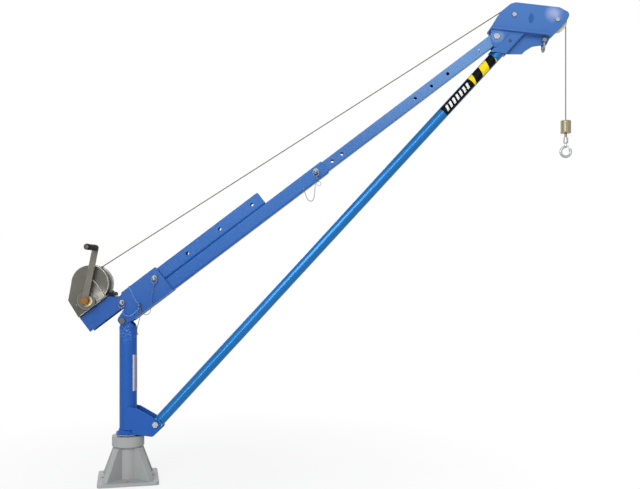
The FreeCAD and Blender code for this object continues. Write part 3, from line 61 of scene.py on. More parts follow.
# Rope
ROPE_R = 0.0025
ROPE_STRANDS = 6
ROPE_LAY = 0.032
ROPE_LEAD = 0.030
DRUM = Vector((-0.1530, 0, 0.86957))
REAR_SHEAVE = Vector((1.70496, 0, 2.05180))
FRONT_SHEAVE = Vector((1.89523, 0, 2.03012))
WIND_R = 0.0458
WIND_TURNS = 9
WIND_PITCH = 0.0057
WIND_END_Y = 0.02565
WIND_POINTS = 24
SHEAVE_R = 0.046
RUN_ANGLE = 32.474
FALL_ARC = 30.0
FALL_END_Z = 1.526

# Lanyard routes, as in the solids
LANYARD_R = 0.0015
LANYARD_STRANDS = 3
LANYARD_LAY = 0.010
WIRE_RESOLUTION = 16
WIRE_STEP = 0.0012
LANYARD_REAR = [
    (-0.0163, -0.0559, 0.7614), (-0.0133, -0.0569, 0.7458), (-0.0033, -0.0569, 0.7328),
    (0.0117, -0.0559, 0.7268), (0.0277, -0.0539, 0.7298), (0.0397, -0.0519, 0.7418),
    (0.0553, -0.0546, 0.7515), (0.0603, -0.0546, 0.7661),
]
LANYARD_FRONT = [
    (0.0635, -0.0561, 0.7667), (0.0683, -0.0566, 0.7515), (0.0803, -0.0566, 0.7355),
    (0.0963, -0.0566, 0.7315), (0.1093, -0.0566, 0.7435), (0.1143, -0.0566, 0.7695),
    (0.1156, -0.0559, 0.8271), (0.1226, -0.0559, 0.8511), (0.1256, -0.0559, 0.8687),
]
LANYARD_EXTENSION = [
    (0.7809, -0.0303, 1.2850), (0.7829, -0.0440, 1.2770), (0.7879, -0.0540, 1.2570),
    (0.7969, -0.0660, 1.2350), (0.8119, -0.0840, 1.2240), (0.8269, -0.1020, 1.2370),
    (0.8294, -0.1163, 1.2852), (0.8324, -0.1193, 1.3112), (0.8334, -0.1203, 1.3288),
]

# Two more thin wires on the boom's eye
MAST_TETHER = [
    (0.0617, -0.0536, 0.7668), (0.0662, -0.0530, 0.7500), (0.0643, -0.0505, 0.7270),
    (0.0572, -0.0460, 0.7010), (0.0495, -0.0405, 0.6790), (0.0440, -0.0270, 0.6560),
    (0.0445, 0.0020, 0.6430), (0.0335, 0.0250, 0.6410), (0.0180, 0.0352, 0.6430),
]
SADDLE_TETHER = [
    (0.0603, -0.0546, 0.7837), (0.0515, -0.0490, 0.7870), (0.0403, -0.0445, 0.7974),
    (0.0276, -0.0436, 0.8255), (0.0155, -0.0434, 0.8520), (0.0115, -0.0425, 0.8585),
    (0.0115, -0.0345, 0.8585), (0.0196, -0.0328, 0.8475),
]

# Strut decal
STRUT_R = 0.025
DECAL_LIFT = 0.0003
DECAL_START = 1.870
DECAL_STRIPES = 2.052
DECAL_END = 2.197
DECAL_SIDES = 48
DECAL_RINGS = 60
STRIPE_LOW = 2.1125
STRIPE_PITCH = 0.085
STRIPE_SHARE = 0.494
STRIPE_SLANT = 0.33
DECAL_HALF_ANGLE = 60.0
TICK_START = 1.888
TICK_END = 2.040
TICK_PITCH = 0.0218
TICK_SHARE = 0.55
TICK_HALF_ANGLE = 0.50

# Mast label
MAST_R = 0.03805
LABEL_LOW = 0.396
LABEL_HIGH = 0.556
LABEL_ANGLES = (-47.0, 12.0)
LABEL_LIFT = 0.0004
LABEL_THICK = 0.0008
LABEL_SIDES = 16
LABEL_RIVET_EDGE = 0.008
LABEL_RIVET = (0.0028, 0.0014)
LABEL_GREY_X = (0.0315, 0.0340)

# Winch, in the boom's own frame; a rivet or cap is its radius and height
DRUM_AT = -0.0114
DRUM_HIGH = 0.2137
CHANNEL_TOP = 0.1257
CRANK_AT = -0.06616
CRANK_HIGH = 0.16245
COVER_R = 0.081
COVER_FACE = -0.060
COVER_RIM_ARC = (-74.0, 125.0)
COVER_RIM_INSET = 0.0008
COVER_RIM_BEAD = 0.0015
COVER_FOOT = (-0.132, -0.020)
COVER_FOOT_LOW = 0.0010
COVER_FOOT_BEAD = 0.0011
COVER_SCREW_AT = (-0.114, 0.174)
COVER_SCREW = (0.0042, 0.0022)
AXLE_CAP = (0.0115, 0.005)
PAD_FACE = -0.065
PAD_LOW = 0.0045
PAD_EDGE = 0.0068
PAD_BOW = 0.0058
PAD_HEIGHT = 0.0965
PAD_LEAN = 1.3
PAD_GAP = 0.0001
PAD_BEAD = 0.0017
BRAKE_R = 0.0378
BRAKE_FACE = -0.0748
BRAKE_BEAD = 0.0011
# Painted shade on the brake plate: darker towards -X, fading out across this span of X from its centre
BRAKE_SHADE_X = (-0.010, 0.016)
DRUM_FLANGE_Y = 0.0315
# Painted light on the drum: bright only out between these radii of the far flange, and past these places
# along Y
DRUM_LIT_RIM = (0.063, 0.079)
DRUM_LIT_Y = (0.012, 0.027)

# Winch places in the whole crane's frame
GRIP_BOLT = (-0.1195, -0.2273, 1.0250)
# Outline of the black block at the front of the winch base, painted shade
BASE_SHADE_SIDE = [
    (-0.0785, 0.8147),
    (-0.0552, 0.8147),
    (-0.0552, 0.8260),
    (-0.0605, 0.8322),
    (-0.0785, 0.8322),
]
BASE_SHADE_Y = (-0.0406, 0.0418)
BASE_SHADE_SOFTEN = 0.0012

# Darker oval, painted shade standing in for a hollow, in the head's own frame
HEAD_FACE = -0.033
MARK_AT = 0.142
MARK_HIGH = 0.099
MARK_HALF = (0.0105, 0.0215)
MARK_LIFT = 0.0008
MARK_DEPTH = 0.0004
PLATE_SOFTEN = 0.0004

# Set screw, in the strut's own frame
SET_SCREW_AT = (2.296, -0.002, -0.030)
SET_SCREW_ACROSS = 0.010
SET_SCREW_HEIGHT = 0.005

# Stud and wire loop on the inner boom, in the boom's own frame
EYELET_AT = 1.968
EYELET_HIGH = 0.0062
EYELET_FACE = -0.0251
EYELET_PROFILE = [
    (0.0046, 0.0), (0.0046, 0.0016), (0.0026, 0.0022),
    (0.0026, 0.0056), (0.0042, 0.0062), (0.0036, 0.0078),
]
EYELET_LOOP_HALF = (0.0062, 0.0115)
EYELET_LOOP_Y = -0.0040
EYELET_LOOP_TOP = 0.0026
EYELET_LOOP_R = 0.0010

# Welds round the mast: height, radius and bead
MAST_WELDS = {
    "weld_mast_foot": (0.2272, 0.0386, 0.0022),
    "weld_mast_cap": (0.6715, 0.0376, 0.0020),
}
MAST_WELD_POINTS = 216

# Welds of the mast's foot bracket, one on each side
BRACKET_WELD_X = -0.0098
BRACKET_WELD_Y = 0.0392
BRACKET_WELD_Z = (0.228, 0.292)
BRACKET_WELD_R = 0.0024
BRACKET_WELD_POINTS = 50

# Welds in the head's own frame, one on each side: from, to, height, side, bead and points
HEAD_WELDS = {
    "weld_head_": (-0.018, 0.240, 0.0393, 0.0333, 0.0022, 220),
    "weld_anchor_": (0.100, 0.238, 0.0300, 0.0045, 0.0020, 130),
}

# Links on the extension pin's ring
PIN_RING_LOW = Vector((0.8334, -0.1203, 1.3288))
LINK_LOW = Vector((0.8445, -0.1190, 1.3085))
SPLIT_RING = Vector((0.8462, -0.1185, 1.2990))
SPLIT_RING_R = 0.0092
LINK_HALF_WIDE = 0.0045
LINK_OVERLAP = 1.12
LINK_WIRE_R = 0.0010
LINK_POINTS = 48
WIRE_RIVET = (0.0046, 0.0030)

# Camera, from the photograph's frame of 640 by 489
CAMERA_PLACE = (0.851, -3.55, 0.907)
CAMERA_LENS = 45.0
CAMERA_SENSOR = 36.0
CAMERA_SHIFT = 0.0477

# Floor, how white it shows under the object, and the radii between which it fades to white
FLOOR_CORNERS = [(-40, -40, 0), (40, -40, 0), (40, 60, 0), (-40, 60, 0)]
FLOOR_DROP = 0.0005
FLOOR_GREY = (0.62, 0.62, 0.62, 1)
FLOOR_WHITE = 0.82
FLOOR_MIDDLE = (0.30, 0.20, 0.0)
FLOOR_FADE = (0.35, 1.60)

# Light
WHITE = (1, 1, 1, 1)
SKY = (0.95, 0.97, 1.0, 1)
SKY_STRENGTH = 0.5


def in_frame(origin, tilt, along, across, y=0.0):
    """Point of a tilted side frame, given along, across and sideways."""
    x = along * math.cos(tilt) - across * math.sin(tilt)
    z = along * math.sin(tilt) + across * math.cos(tilt)
    return origin + Vector((x, y, z))


def boom(along, across, y=0.0):
    """Point in the boom's frame, from its pivot."""
    return in_frame(PIVOT, BOOM_TILT, along, across, y)


def head(along, across, y=0.0):
    """Point in the head's frame, from the boom's tip."""
    return in_frame(TIP, HEAD_TILT, along, across, y)


def strut(along, across, y=0.0):
    """Point in the strut's frame, from its foot."""
    return in_frame(FOOT, STRUT_TILT, along, across, y)


def round_angles(count):
    """Evenly spaced angles of a full turn."""
    return [2 * math.pi * i / count for i in range(count)]


def circle_place(centre, radius, degrees, y=0.0):
    """Point of an upright circle."""
    angle = math.radians(degrees)
    return centre + Vector((radius * math.cos(angle), y, radius * math.sin(angle)))


def corner_place(centre, radius, start, end):
    """Where the two straight lines that leave a round at two angles meet."""
    half = math.radians(abs(end - start) / 2)
    return circle_place(centre, radius / math.cos(half), (start + end) / 2)


# Materials


def linear(hex_colour):
    """Linear colour of a web colour such as 3F67B3."""
    values = []
    for i in (0, 2, 4):
        c = int(hex_colour[i:i + 2], 16) / 255
        values.append(c / 12.92 if c <= 0.04045 else ((c + 0.055) / 1.055) ** 2.4)
    return (*values, 1.0)


class Shader:
    """A material whose nodes are added one call at a time."""

    BEVEL_SAMPLES = 6

    def __init__(self, name):
        self.material = bpy.data.materials.new(name)
        self.material.use_nodes = True
        self.tree = self.material.node_tree
        self.surface = self.tree.nodes["Principled BSDF"]

    def add(self, kind, **settings):
        node = self.tree.nodes.new(kind)
        for key, value in settings.items():
            setattr(node, key, value)
        return node

    def link(self, source, target):
        self.tree.links.new(source, target)

    def place(self, stretch=(1, 1, 1)):
        """Object coordinates, stretched."""
        coordinates = self.add("ShaderNodeTexCoord")
        mapping = self.add("ShaderNodeMapping")
        mapping.inputs["Scale"].default_value = stretch
        self.link(coordinates.outputs["Object"], mapping.inputs["Vector"])
        return mapping.outputs["Vector"]

    def noise(self, scale, detail=3.0, stretch=(1, 1, 1), rough=0.55):
        node = self.add("ShaderNodeTexNoise")
        node.inputs["Scale"].default_value = scale
        node.inputs["Detail"].default_value = detail
        node.inputs["Roughness"].default_value = rough
        self.link(self.place(stretch), node.inputs["Vector"])
        return node.outputs["Fac"]

    def along(self, axis, low, high):
        """0 to 1 between two places on an axis of the object."""
        parts = self.add("ShaderNodeSeparateXYZ")
        self.link(self.place(), parts.inputs["Vector"])
        return self.span(parts.outputs[axis], 0.0, 1.0, low, high)

    def apart(self, centre):
        """Distance from a place of the object."""
        gap = self.add("ShaderNodeVectorMath", operation="DISTANCE")
        gap.inputs[1].default_value = centre
        self.link(self.place(), gap.inputs[0])
        return gap.outputs["Value"]

    def near(self, centre, radius):
        """1 at a place of the object, fading to 0 at a radius."""
        return self.span(self.apart(centre), 1.0, 0.0, 0.25 * radius, radius)

    def span(self, value, low, high, from_low=0.0, from_high=1.0):
        """A value carried from one range to another."""
        node = self.add("ShaderNodeMapRange")
        node.inputs["From Min"].default_value = from_low
        node.inputs["From Max"].default_value = from_high
        node.inputs["To Min"].default_value = low
        node.inputs["To Max"].default_value = high
        self.link(value, node.inputs["Value"])
        return node.outputs["Result"]

    def math(self, operation, a, b=None):
        node = self.add("ShaderNodeMath", operation=operation)
        for socket, value in zip(node.inputs, (a, b)):
            if isinstance(value, (int, float)):
                socket.default_value = value
            elif value is not None:
                self.link(value, socket)
        return node.outputs["Value"]

    def mix(self, factor, a, b):
        node = self.add("ShaderNodeMix", data_type="RGBA")
        sockets = {s.identifier: s for s in node.inputs}
        for key, value in (("Factor_Float", factor), ("A_Color", a), ("B_Color", b)):
            if isinstance(value, tuple):
                sockets[key].default_value = value
            else:
                self.link(value, sockets[key])
        return [s for s in node.outputs if s.identifier == "Result_Color"][0]

    def shade(self, colour, factor, depth):
        """The colour, a little darker and lighter by a factor."""
        dark = tuple(c * (1 - depth) for c in colour[:3]) + (1.0,)
        light = tuple(min(1.0, c * (1 + depth)) for c in colour[:3]) + (1.0,)
        return self.mix(factor, dark, light)

    def edges(self, radius):
        """Where a surface turns within a radius: 0 on flats and up to 1 on sharp edges."""
        bevel = self.add("ShaderNodeBevel", samples=self.BEVEL_SAMPLES)
        bevel.inputs["Radius"].default_value = radius
        geometry = self.add("ShaderNodeNewGeometry")
        dot = self.add("ShaderNodeVectorMath", operation="DOT_PRODUCT")
        self.link(bevel.outputs["Normal"], dot.inputs[0])
        self.link(geometry.outputs["Normal"], dot.inputs[1])
        return self.span(dot.outputs["Value"], 1.0, 0.0, 0.72, 0.97)

    def bump(self, height, distance, strength, soften):
        """Fine relief on a surface whose edges are rounded off by a small radius."""
        node = self.add("ShaderNodeBump")
        node.inputs["Strength"].default_value = strength
        node.inputs["Distance"].default_value = distance
        self.link(height, node.inputs["Height"])
        bevel = self.add("ShaderNodeBevel", samples=self.BEVEL_SAMPLES)
        bevel.inputs["Radius"].default_value = soften
        self.link(bevel.outputs["Normal"], node.inputs["Normal"])
        self.link(node.outputs["Normal"], self.surface.inputs["Normal"])

    def set(self, **values):
        """Numbers and colours set on the surface, or nodes linked to it."""
        for key, value in values.items():
            socket = self.surface.inputs[key.replace("_", " ")]
            if isinstance(value, (int, float, tuple)):
                socket.default_value = value
            else:
                self.link(value, socket)


def pale(colour, share):
    """A colour drawn towards chalky white."""
    return tuple((1 - share) * c + share * 0.75 for c in colour[:3]) + (1.0,)


def worn_and_lit_patches(s, base, patches):
    """A base colour with cloudy patches of other colours, each at its place: some are wear, others painted
    reflection, painted highlight and painted shade.
    """
    for centre, radius, hex_colour in patches:
        smear = s.span(s.noise(24.0, 3.0), 0.25, 0.75, 0.35, 0.65)
        base = s.mix(s.math("MULTIPLY", s.near(centre, radius), smear), base, linear(hex_colour))
    return base


def paint(name, low, high, heights, rough=0.42, coat=0.04, chips=None, patches=()):
    """Sprayed enamel, paler with height as painted light that brightens it higher up: slight clouding,
    orange peel, worn edges, chips, and patches of wear and painted reflection.
    """
    s = Shader(name)
    top = linear(high)
    cloud = s.noise(2.6, 3.0)
    # Painted light: the colour runs from low to high up the height, standing in for brighter light higher
    # up
    base = s.mix(s.along("Z", *heights), s.shade(linear(low), cloud, 0.07), s.shade(top, cloud, 0.07))
    worn = s.math("MULTIPLY", s.edges(0.0016), s.span(s.noise(30.0, 4.0), 0.0, 0.30, 0.50, 0.72))
    base = s.mix(worn, base, pale(top, 0.30))
    if chips:
        centre, radius = chips
        flecks = s.span(s.noise(170.0, 5.0, rough=0.7), 0.0, 0.95, 0.585, 0.635)
        base = s.mix(s.math("MULTIPLY", s.near(centre, radius), flecks), base, linear("B4D2EE"))
    base = worn_and_lit_patches(s, base, patches)
    s.set(Base_Color=base, Specular_IOR_Level=0.14, Coat_Weight=coat, Coat_Roughness=0.12)
    s.set(Roughness=s.span(s.noise(14.0, 3.0), rough - 0.05, rough + 0.07))
    s.bump(s.noise(190.0, 2.0), 0.00010, 0.03, 0.0012)
    return s.material


def gloss_paint(name, hex_colour):
    """Bright gloss enamel on the strut."""
    s = Shader(name)
    colour = linear(hex_colour)
    base = s.shade(colour, s.noise(4.0, 3.0), 0.08)
    worn = s.math("MULTIPLY", s.edges(0.0015), s.span(s.noise(30.0, 4.0), 0.0, 0.30, 0.50, 0.72))
    s.set(Base_Color=s.mix(worn, base, pale(colour, 0.30)), Metallic=0.35, Specular_IOR_Level=0.05)
    s.set(Roughness=s.span(s.noise(9.0, 3.0), 0.20, 0.25), Coat_Weight=0.4, Coat_Roughness=0.18)
    return s.material


def cast_paint(name, hex_colour):
    """Grey painted casting with a sandy skin and settled dust."""
    s = Shader(name)
    colour = linear(hex_colour)
    base = s.shade(colour, s.noise(7.0, 4.0), 0.07)
    grime = s.span(s.noise(24.0, 5.0, rough=0.65), 0.0, 0.20, 0.52, 0.75)
    dirt = tuple(0.70 * c for c in colour[:3]) + (1.0,)
    s.set(Base_Color=s.mix(grime, base, dirt), Specular_IOR_Level=0.35)
    s.set(Roughness=s.span(s.noise(60.0, 3.0), 0.50, 0.66))
    s.bump(s.noise(210.0, 4.0, rough=0.6), 0.0006, 0.30, 0.0035)
    return s.material


def plated(name, hex_colour, rough=0.30, mottle=0.08, metal=1.0):
    """Plated or machined metal with a faint mottle and hairline marks."""
    s = Shader(name)
    colour = linear(hex_colour)
    s.set(Base_Color=s.shade(colour, s.noise(38.0, 4.0), mottle), Metallic=metal)
    s.set(Roughness=s.span(s.noise(60.0, 4.0), rough - 0.06, rough + 0.10))
    s.bump(s.noise(120.0, 3.0, stretch=(1, 9, 1)), 0.00008, 0.25, 0.0007)
    return s.material


def winch_enamel(name, hex_colour, patches=()):
    """Metallic grey enamel on pressed sheet, with worn edges, scuffs, and patches: painted highlight,
    painted shade and a darker patch.
    """
    s = Shader(name)
    colour = linear(hex_colour)
    base = s.shade(colour, s.noise(16.0, 5.0), 0.18)
    worn = s.math("MULTIPLY", s.edges(0.0024), s.span(s.noise(60.0, 4.0), 0.25, 0.85, 0.40, 0.62))
    scuffs = s.span(s.noise(48.0, 5.0, rough=0.7), 0.0, 0.35, 0.60, 0.74)
    base = s.mix(scuffs, base, linear("8F8D84"))
    base = worn_and_lit_patches(s, base, patches)
    s.set(Base_Color=s.mix(worn, base, linear("B5B3AA")), Metallic=0.45, Specular_IOR_Level=0.3)
    s.set(Roughness=s.span(s.noise(26.0, 4.0), 0.38, 0.56))
    s.bump(s.noise(200.0, 3.0), 0.00015, 0.25, 0.0014)
    return s.material


def drum_plate(name, shaded, bright):
    """Plated drum, dark as painted shade at its near side and bright as painted light at its far flange's
    rim.
    """
    s = Shader(name)
    cloud = s.noise(38.0, 4.0)
    rim = s.span(s.apart((DRUM.x, DRUM_FLANGE_Y, DRUM.z)), 0.0, 1.0, *DRUM_LIT_RIM)
    lit_share = s.math("MULTIPLY", s.along("Y", *DRUM_LIT_Y), rim)
    base = s.mix(lit_share, s.shade(linear(shaded), cloud, 0.15), s.shade(linear(bright), cloud, 0.08))
    s.set(Base_Color=base, Metallic=0.2, Roughness=s.span(s.noise(60.0, 4.0), 0.36, 0.52))
    s.bump(s.noise(120.0, 3.0, stretch=(1, 9, 1)), 0.00008, 0.25, 0.0007)
    return s.material


def ringed(name, centre, radius, inner, outer, shaded):
    """Plated disc, one colour within a radius of its centre and another outside it, darker at one side as
    painted shade.
    """
    s = Shader(name)
    outside = s.math("GREATER_THAN", s.apart(centre), radius)
    cloud = s.noise(40.0, 4.0)
    lit_share = s.along("X", *(centre[0] + edge for edge in BRAKE_SHADE_X))
    bright = s.mix(lit_share, linear(shaded), s.shade(linear(inner), cloud, 0.12))
    base = s.mix(outside, bright, s.shade(linear(outer), cloud, 0.15))
    s.set(Base_Color=base, Metallic=0.4, Roughness=s.span(s.noise(60.0, 4.0), 0.34, 0.50))
    s.bump(s.noise(150.0, 3.0), 0.00008, 0.25, 0.0008)
    return s.material


def wire(name, hex_colour, metal=0.7):
    """Greased steel wire."""
    s = Shader(name)
    colour = linear(hex_colour)
    grease = s.noise(130.0, 4.0)
    s.set(Base_Color=s.shade(colour, grease, 0.25), Metallic=metal)
    s.set(Roughness=s.span(grease, 0.36, 0.60))
    s.bump(s.noise(900.0, 2.0), 0.00008, 0.3, 0.0002)
    return s.material


def plastic(name, hex_colour, rough, depth=0.14, shine=0.22):
    """Moulded plastic or rubber with a fine grain."""
    s = Shader(name)
    s.set(Base_Color=s.shade(linear(hex_colour), s.noise(70.0, 4.0), depth), Specular_IOR_Level=shine)
    s.set(Roughness=s.span(s.noise(90.0, 3.0), rough - 0.06, rough + 0.10))
    s.bump(s.noise(500.0, 2.0), 0.0001, 0.3, 0.0008)
    return s.material


def vinyl(name):
    """Strut decal: plain slanted ticks on black, then slanted black and yellow stripes."""
    s = Shader(name)
    coordinates = s.add("ShaderNodeTexCoord")
    parts = s.add("ShaderNodeSeparateXYZ")
    s.link(coordinates.outputs["UV"], parts.inputs["Vector"])
    around = parts.outputs["X"]
    along = parts.outputs["Y"]
    slanted = s.math("SUBTRACT", along, s.math("MULTIPLY", around, STRUT_R * STRIPE_SLANT))

    def repeats(value, start, pitch, share):
        phase = s.math("FRACT", s.math("DIVIDE", s.math("SUBTRACT", value, start - 10 * pitch), pitch))
        return s.math("LESS_THAN", phase, share)

    def within(value, low, high):
        return s.math("MULTIPLY", s.math("GREATER_THAN", value, low), s.math("LESS_THAN", value, high))

    middle = within(around, -TICK_HALF_ANGLE, TICK_HALF_ANGLE)
    printed = s.math("MULTIPLY", within(slanted, TICK_START, TICK_END), middle)
    ticks = s.math("MULTIPLY", repeats(slanted, TICK_START, TICK_PITCH, TICK_SHARE), printed)
    black = linear("070707")
    colour = s.mix(ticks, black, linear("E4E5E1"))
    stripes = s.mix(repeats(slanted, STRIPE_LOW, STRIPE_PITCH, STRIPE_SHARE), black, linear("F0D41B"))
    colour = s.mix(s.math("GREATER_THAN", along, DECAL_STRIPES), colour, stripes)
    scuff = s.span(s.noise(60.0, 5.0, rough=0.7), 0.0, 0.14, 0.62, 0.76)
    s.set(Base_Color=s.mix(scuff, colour, linear("6F7478")), Specular_IOR_Level=0.07)
    s.set(Roughness=s.span(s.noise(30.0, 3.0), 0.30, 0.44))
    s.bump(s.noise(300.0, 2.0), 0.00006, 0.2, 0.0005)
    return s.material


def plate_face(name):
    """Bare plate: pale at one side and greyer towards +X, faint clouding and a worn rim."""
    s = Shader(name)
    cloud = s.noise(40.0, 4.0)
    greyer = s.along("X", *LABEL_GREY_X)
    base = s.mix(greyer, s.shade(linear("C9C7DA"), cloud, 0.08), s.shade(linear("85828A"), cloud, 0.14))
    s.set(Base_Color=s.mix(s.edges(0.0020), base, linear("8E8C96")), Specular_IOR_Level=0.35)
    s.set(Roughness=s.span(s.noise(80.0, 3.0), 0.38, 0.52))
    s.bump(s.noise(400.0, 2.0), 0.00006, 0.2, 0.0006)
    return s.material


# Places on the solids where the paint is chipped, with a radius; or worn, painted with glare, highlight or
# shade, or darker, each with a colour too
MAST_CHIPS = ((0.0, -0.038, 0.655), 0.055)
# Painted reflection: a pale glare patch round the bolt on the near head plate
HEAD_GLARE_PATCH = (tuple(head(0.241, 0.130, -0.032)), 0.046, "A9B3D9")
EAR_RUB = (tuple(head(0.004, 0.004, -0.032)), 0.034, "93B0DA")
# Painted highlight: a lighter patch on the winch cover beside its pad
COVER_LIT_PATCH = (tuple(boom(-0.012, 0.146, -0.065)), 0.052, "A3A098")
# Painted shade: the cover darker at its lower left, below the brake
COVER_SHADE_PATCH = (tuple(boom(-0.105, 0.128, -0.060)), 0.085, "1F1B17")
# The crank arm darker round the grip's bolt
GRIP_DARK_PATCH = (GRIP_BOLT, 0.060, "121211")
BRAKE_CENTRE = tuple(boom(CRANK_AT, CRANK_HIGH, -0.075))
BRAKE_BRIGHT_R = 0.0270
HEAD_BLUE = ("406DAF", "4773B4", (1.9, 2.1))

# A look for each of the record's material slots, and for the nodes that differ from their slot's
MATERIALS = {
    "boom_blue": paint("boom_blue", "17509A", "3669AD", (0.75, 1.35)),
    "mast_blue": paint("mast_blue", "1F54A2", "2155A3", (0.2, 0.7), chips=MAST_CHIPS),
    # The channel's blue is a darker copy of the boom's paint: painted shade
    "channel_blue": paint("channel_blue", "114D98", "124D97", (0.6, 0.9)),
    "strut_blue": gloss_paint("strut_blue", "0D67A8"),
    "head_blue": paint("head_blue", *HEAD_BLUE),
    "casting_grey": cast_paint("casting_grey", "9C9E9D"),
    "bronze": plated("bronze", "A88A52", 0.36),
    "machined_steel": plated("machined_steel", "A3A5A6", 0.34),
    "zinc": plated("zinc", "C6C8C8", 0.28),
    "yellow_zinc": plated("yellow_zinc", "C9C2A2", 0.38, metal=0.5),
    # The winch frame and the rest of this slot are darker than the cover: painted shade for the band beside
    # the cover
    "winch_grey": winch_enamel("winch_grey", "3B3A35"),
    "rope_steel": wire("rope_steel", "6A6258"),
    "lanyard_steel": wire("lanyard_steel", "68645F"),
    "grip_black": plastic("grip_black", "0A0A0B", 0.55, shine=0.06),
    "cap_orange": plastic("cap_orange", "80551A", 0.40, 0.45),
    "weight_olive": plated("weight_olive", "8B856A", 0.28, metal=0.35),
    "ferrule_copper": plated("ferrule_copper", "96604B", 0.36),
}
OTHER_LOOKS = {
    # The inner tube's blue is lighter than the boom's and paler higher up: painted light and painted
    # reflection
    "inner_tube": paint("inner_blue_painted_light", "3C6AA9", "638CC0", (1.48, 1.84), 0.36, 0.08),
    "head_plate_near": paint("head_near_blue", *HEAD_BLUE, patches=[HEAD_GLARE_PATCH]),
    "head_base": paint("head_base_blue", *HEAD_BLUE, patches=[EAR_RUB]),
    "thrust_washer": plastic("washer_nylon", "BFC0BC", 0.45),
    "winch_cover": winch_enamel("cover_grey", "504F48", [COVER_LIT_PATCH, COVER_SHADE_PATCH]),
    "winch_drum": drum_plate("drum_zinc", "26231F", "EAE5DC"),
    "pawl": plated("pawl_steel", "85837C", 0.44, metal=0.4),
    "crank_arm": winch_enamel("crank_grey", "5B5852", [GRIP_DARK_PATCH]),
    "brake_discs": ringed("brake_plate", BRAKE_CENTRE, BRAKE_BRIGHT_R, "C6BB8C", "4A463F", "453F37"),
}
dull_steel = plated("dull_steel", "77797C", 0.36)
dark_steel_and_gap_shade = plated("dark_steel_and_gap_shade", "4C4D4F", 0.42)
bolt_steel = plated("bolt_steel", "9BA0A7", 0.40, metal=0.7)
for look, named in (
    (dull_steel, ("lock_pin_rear", "lock_pin_front", "extension_pin", "lanyard_eye")),
    (dull_steel, ("shackle_bow", "shackle_pin")),
    # Dark steel on the pivot bolt; on the upper bush it is painted shade of the gap at the mast's foot
    (dark_steel_and_gap_shade, ("boom_pivot_bolt", "upper_bush")),
    (bolt_steel, ("head_pin", "sheave_axles", "strut_foot_bolt")),
):
    for node in named:
        OTHER_LOOKS[node] = look
# Black for the block that is painted shade at the winch base's front
shade_black = plastic("shade_black", "121417", 0.5, shine=0.10)
# Pale grey for the cover's edge beads: painted highlight
highlight_grey = plated("highlight_grey", "B9B7AF", 0.40, metal=0.5)
# Lighter grey: painted highlight on the brake plate's rim, and the cover screw's own colour
rim_highlight_and_screw_grey = plated("rim_highlight_and_screw_grey", "8B897C", 0.46, metal=0.4)
eyelet_steel = plated("eyelet_steel", "9FB6D8", 0.40, metal=0.5)
# Darker blue for the oval: painted shade
mark_shade_blue = paint("mark_shade_blue", "2B559A", "315EA4", (1.9, 2.1))
drum_rope = wire("drum_rope", "3A3631", 0.35)
pale_wire = wire("pale_wire", "7399CF", 0.2)
decal_vinyl = vinyl("decal_vinyl")
label_face = plate_face("label_face")

for entry in frame["record"]["subparts"]:
    look = OTHER_LOOKS.get(entry["node"], MATERIALS[entry["material_slot"]])
    for material_slot in nodes[entry["node"]].material_slots:
        material_slot.material = look


# Piece helpers


def finish_piece(obj, body, slot, material=None):
    """Give a new piece its look and its body."""
    obj.data.materials.append(material or MATERIALS[slot])
    if body:
        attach(obj, body)
    return obj


def put(name, data):
    """New object in the scene."""
    obj = bpy.data.objects.new(name, data)
    bpy.context.scene.collection.objects.link(obj)
    return obj


def mesh_piece(name, verts, faces, smooth=True):
    """New object of a mesh."""
    mesh = bpy.data.meshes.new(name)
    mesh.from_pydata([tuple(v) for v in verts], [], faces)
    mesh.validate()
    for polygon in mesh.polygons:
        polygon.use_smooth = smooth
    return put(name, mesh)


def path_frames(points, closed):
    """A pair of side directions at each point, carried along with no twist."""
    count = len(points)
    side = None
    frames = []
    for i in range(count):
        if closed:
            tangent = points[(i + 1) % count] - points[i - 1]
        else:
            tangent = points[min(i + 1, count - 1)] - points[max(i - 1, 0)]
        tangent.normalize()
        side = side or tangent.orthogonal()
        side = (side - tangent * side.dot(tangent)).normalized()
        frames.append((side, tangent.cross(side)))
    return frames


def tube_mesh(name, points, radius_at, sides, twist_per_metre=0.0, closed=False):
    """Tube along points; radius_at(angle, distance) gives its section."""
    verts = []
    distance = 0.0
    for i, (point, (a, b)) in enumerate(zip(points, path_frames(points, closed))):
        if i:
            distance += (point - points[i - 1]).length
        for angle in round_angles(sides):
            turned = angle + twist_per_metre * distance
            r = radius_at(angle, distance)
            verts.append(point + a * (r * math.cos(turned)) + b * (r * math.sin(turned)))
    return mesh_piece(name, verts, ring_faces(len(points), sides, closed))


def ring_faces(rings, sides, closed):
    """Faces between rings of points, closed round or capped at both ends."""
    faces = []
    for i in range(rings if closed else rings - 1):
        low = i * sides
        high = (i + 1) % rings * sides
        for k in range(sides):
            n = (k + 1) % sides
            faces.append((low + k, low + n, high + n, high + k))
    if not closed:
        faces.append(tuple(range(sides - 1, -1, -1)))
        faces.append(tuple(range((rings - 1) * sides, rings * sides)))
    return faces


def lathe(name, profile, origin, axis, sides=24, smooth=True):
    """Round piece from (radius, height) pairs, turned about an axis."""
    a = Vector(axis).normalized()
    u = a.orthogonal().normalized()
    w = a.cross(u)
    verts = []
    for radius, height in profile:
        for angle in round_angles(sides):
            verts.append(Vector(origin) + a * height + (u * math.cos(angle) + w * math.sin(angle)) * radius)
    return mesh_piece(name, verts, ring_faces(len(profile), sides, False), smooth)


def rivet(name, origin, axis, radius, height, body, slot, material=None):
    """Domed head."""
    profile = [(radius, 0.0)]
    for i in range(1, 6):
        angle = math.radians(15 * i)
        profile.append((radius * math.cos(angle), height * math.sin(angle)))
    profile.append((radius * 0.05, height))
    return finish_piece(lathe(name, profile, origin, axis, 20), body, slot, material)


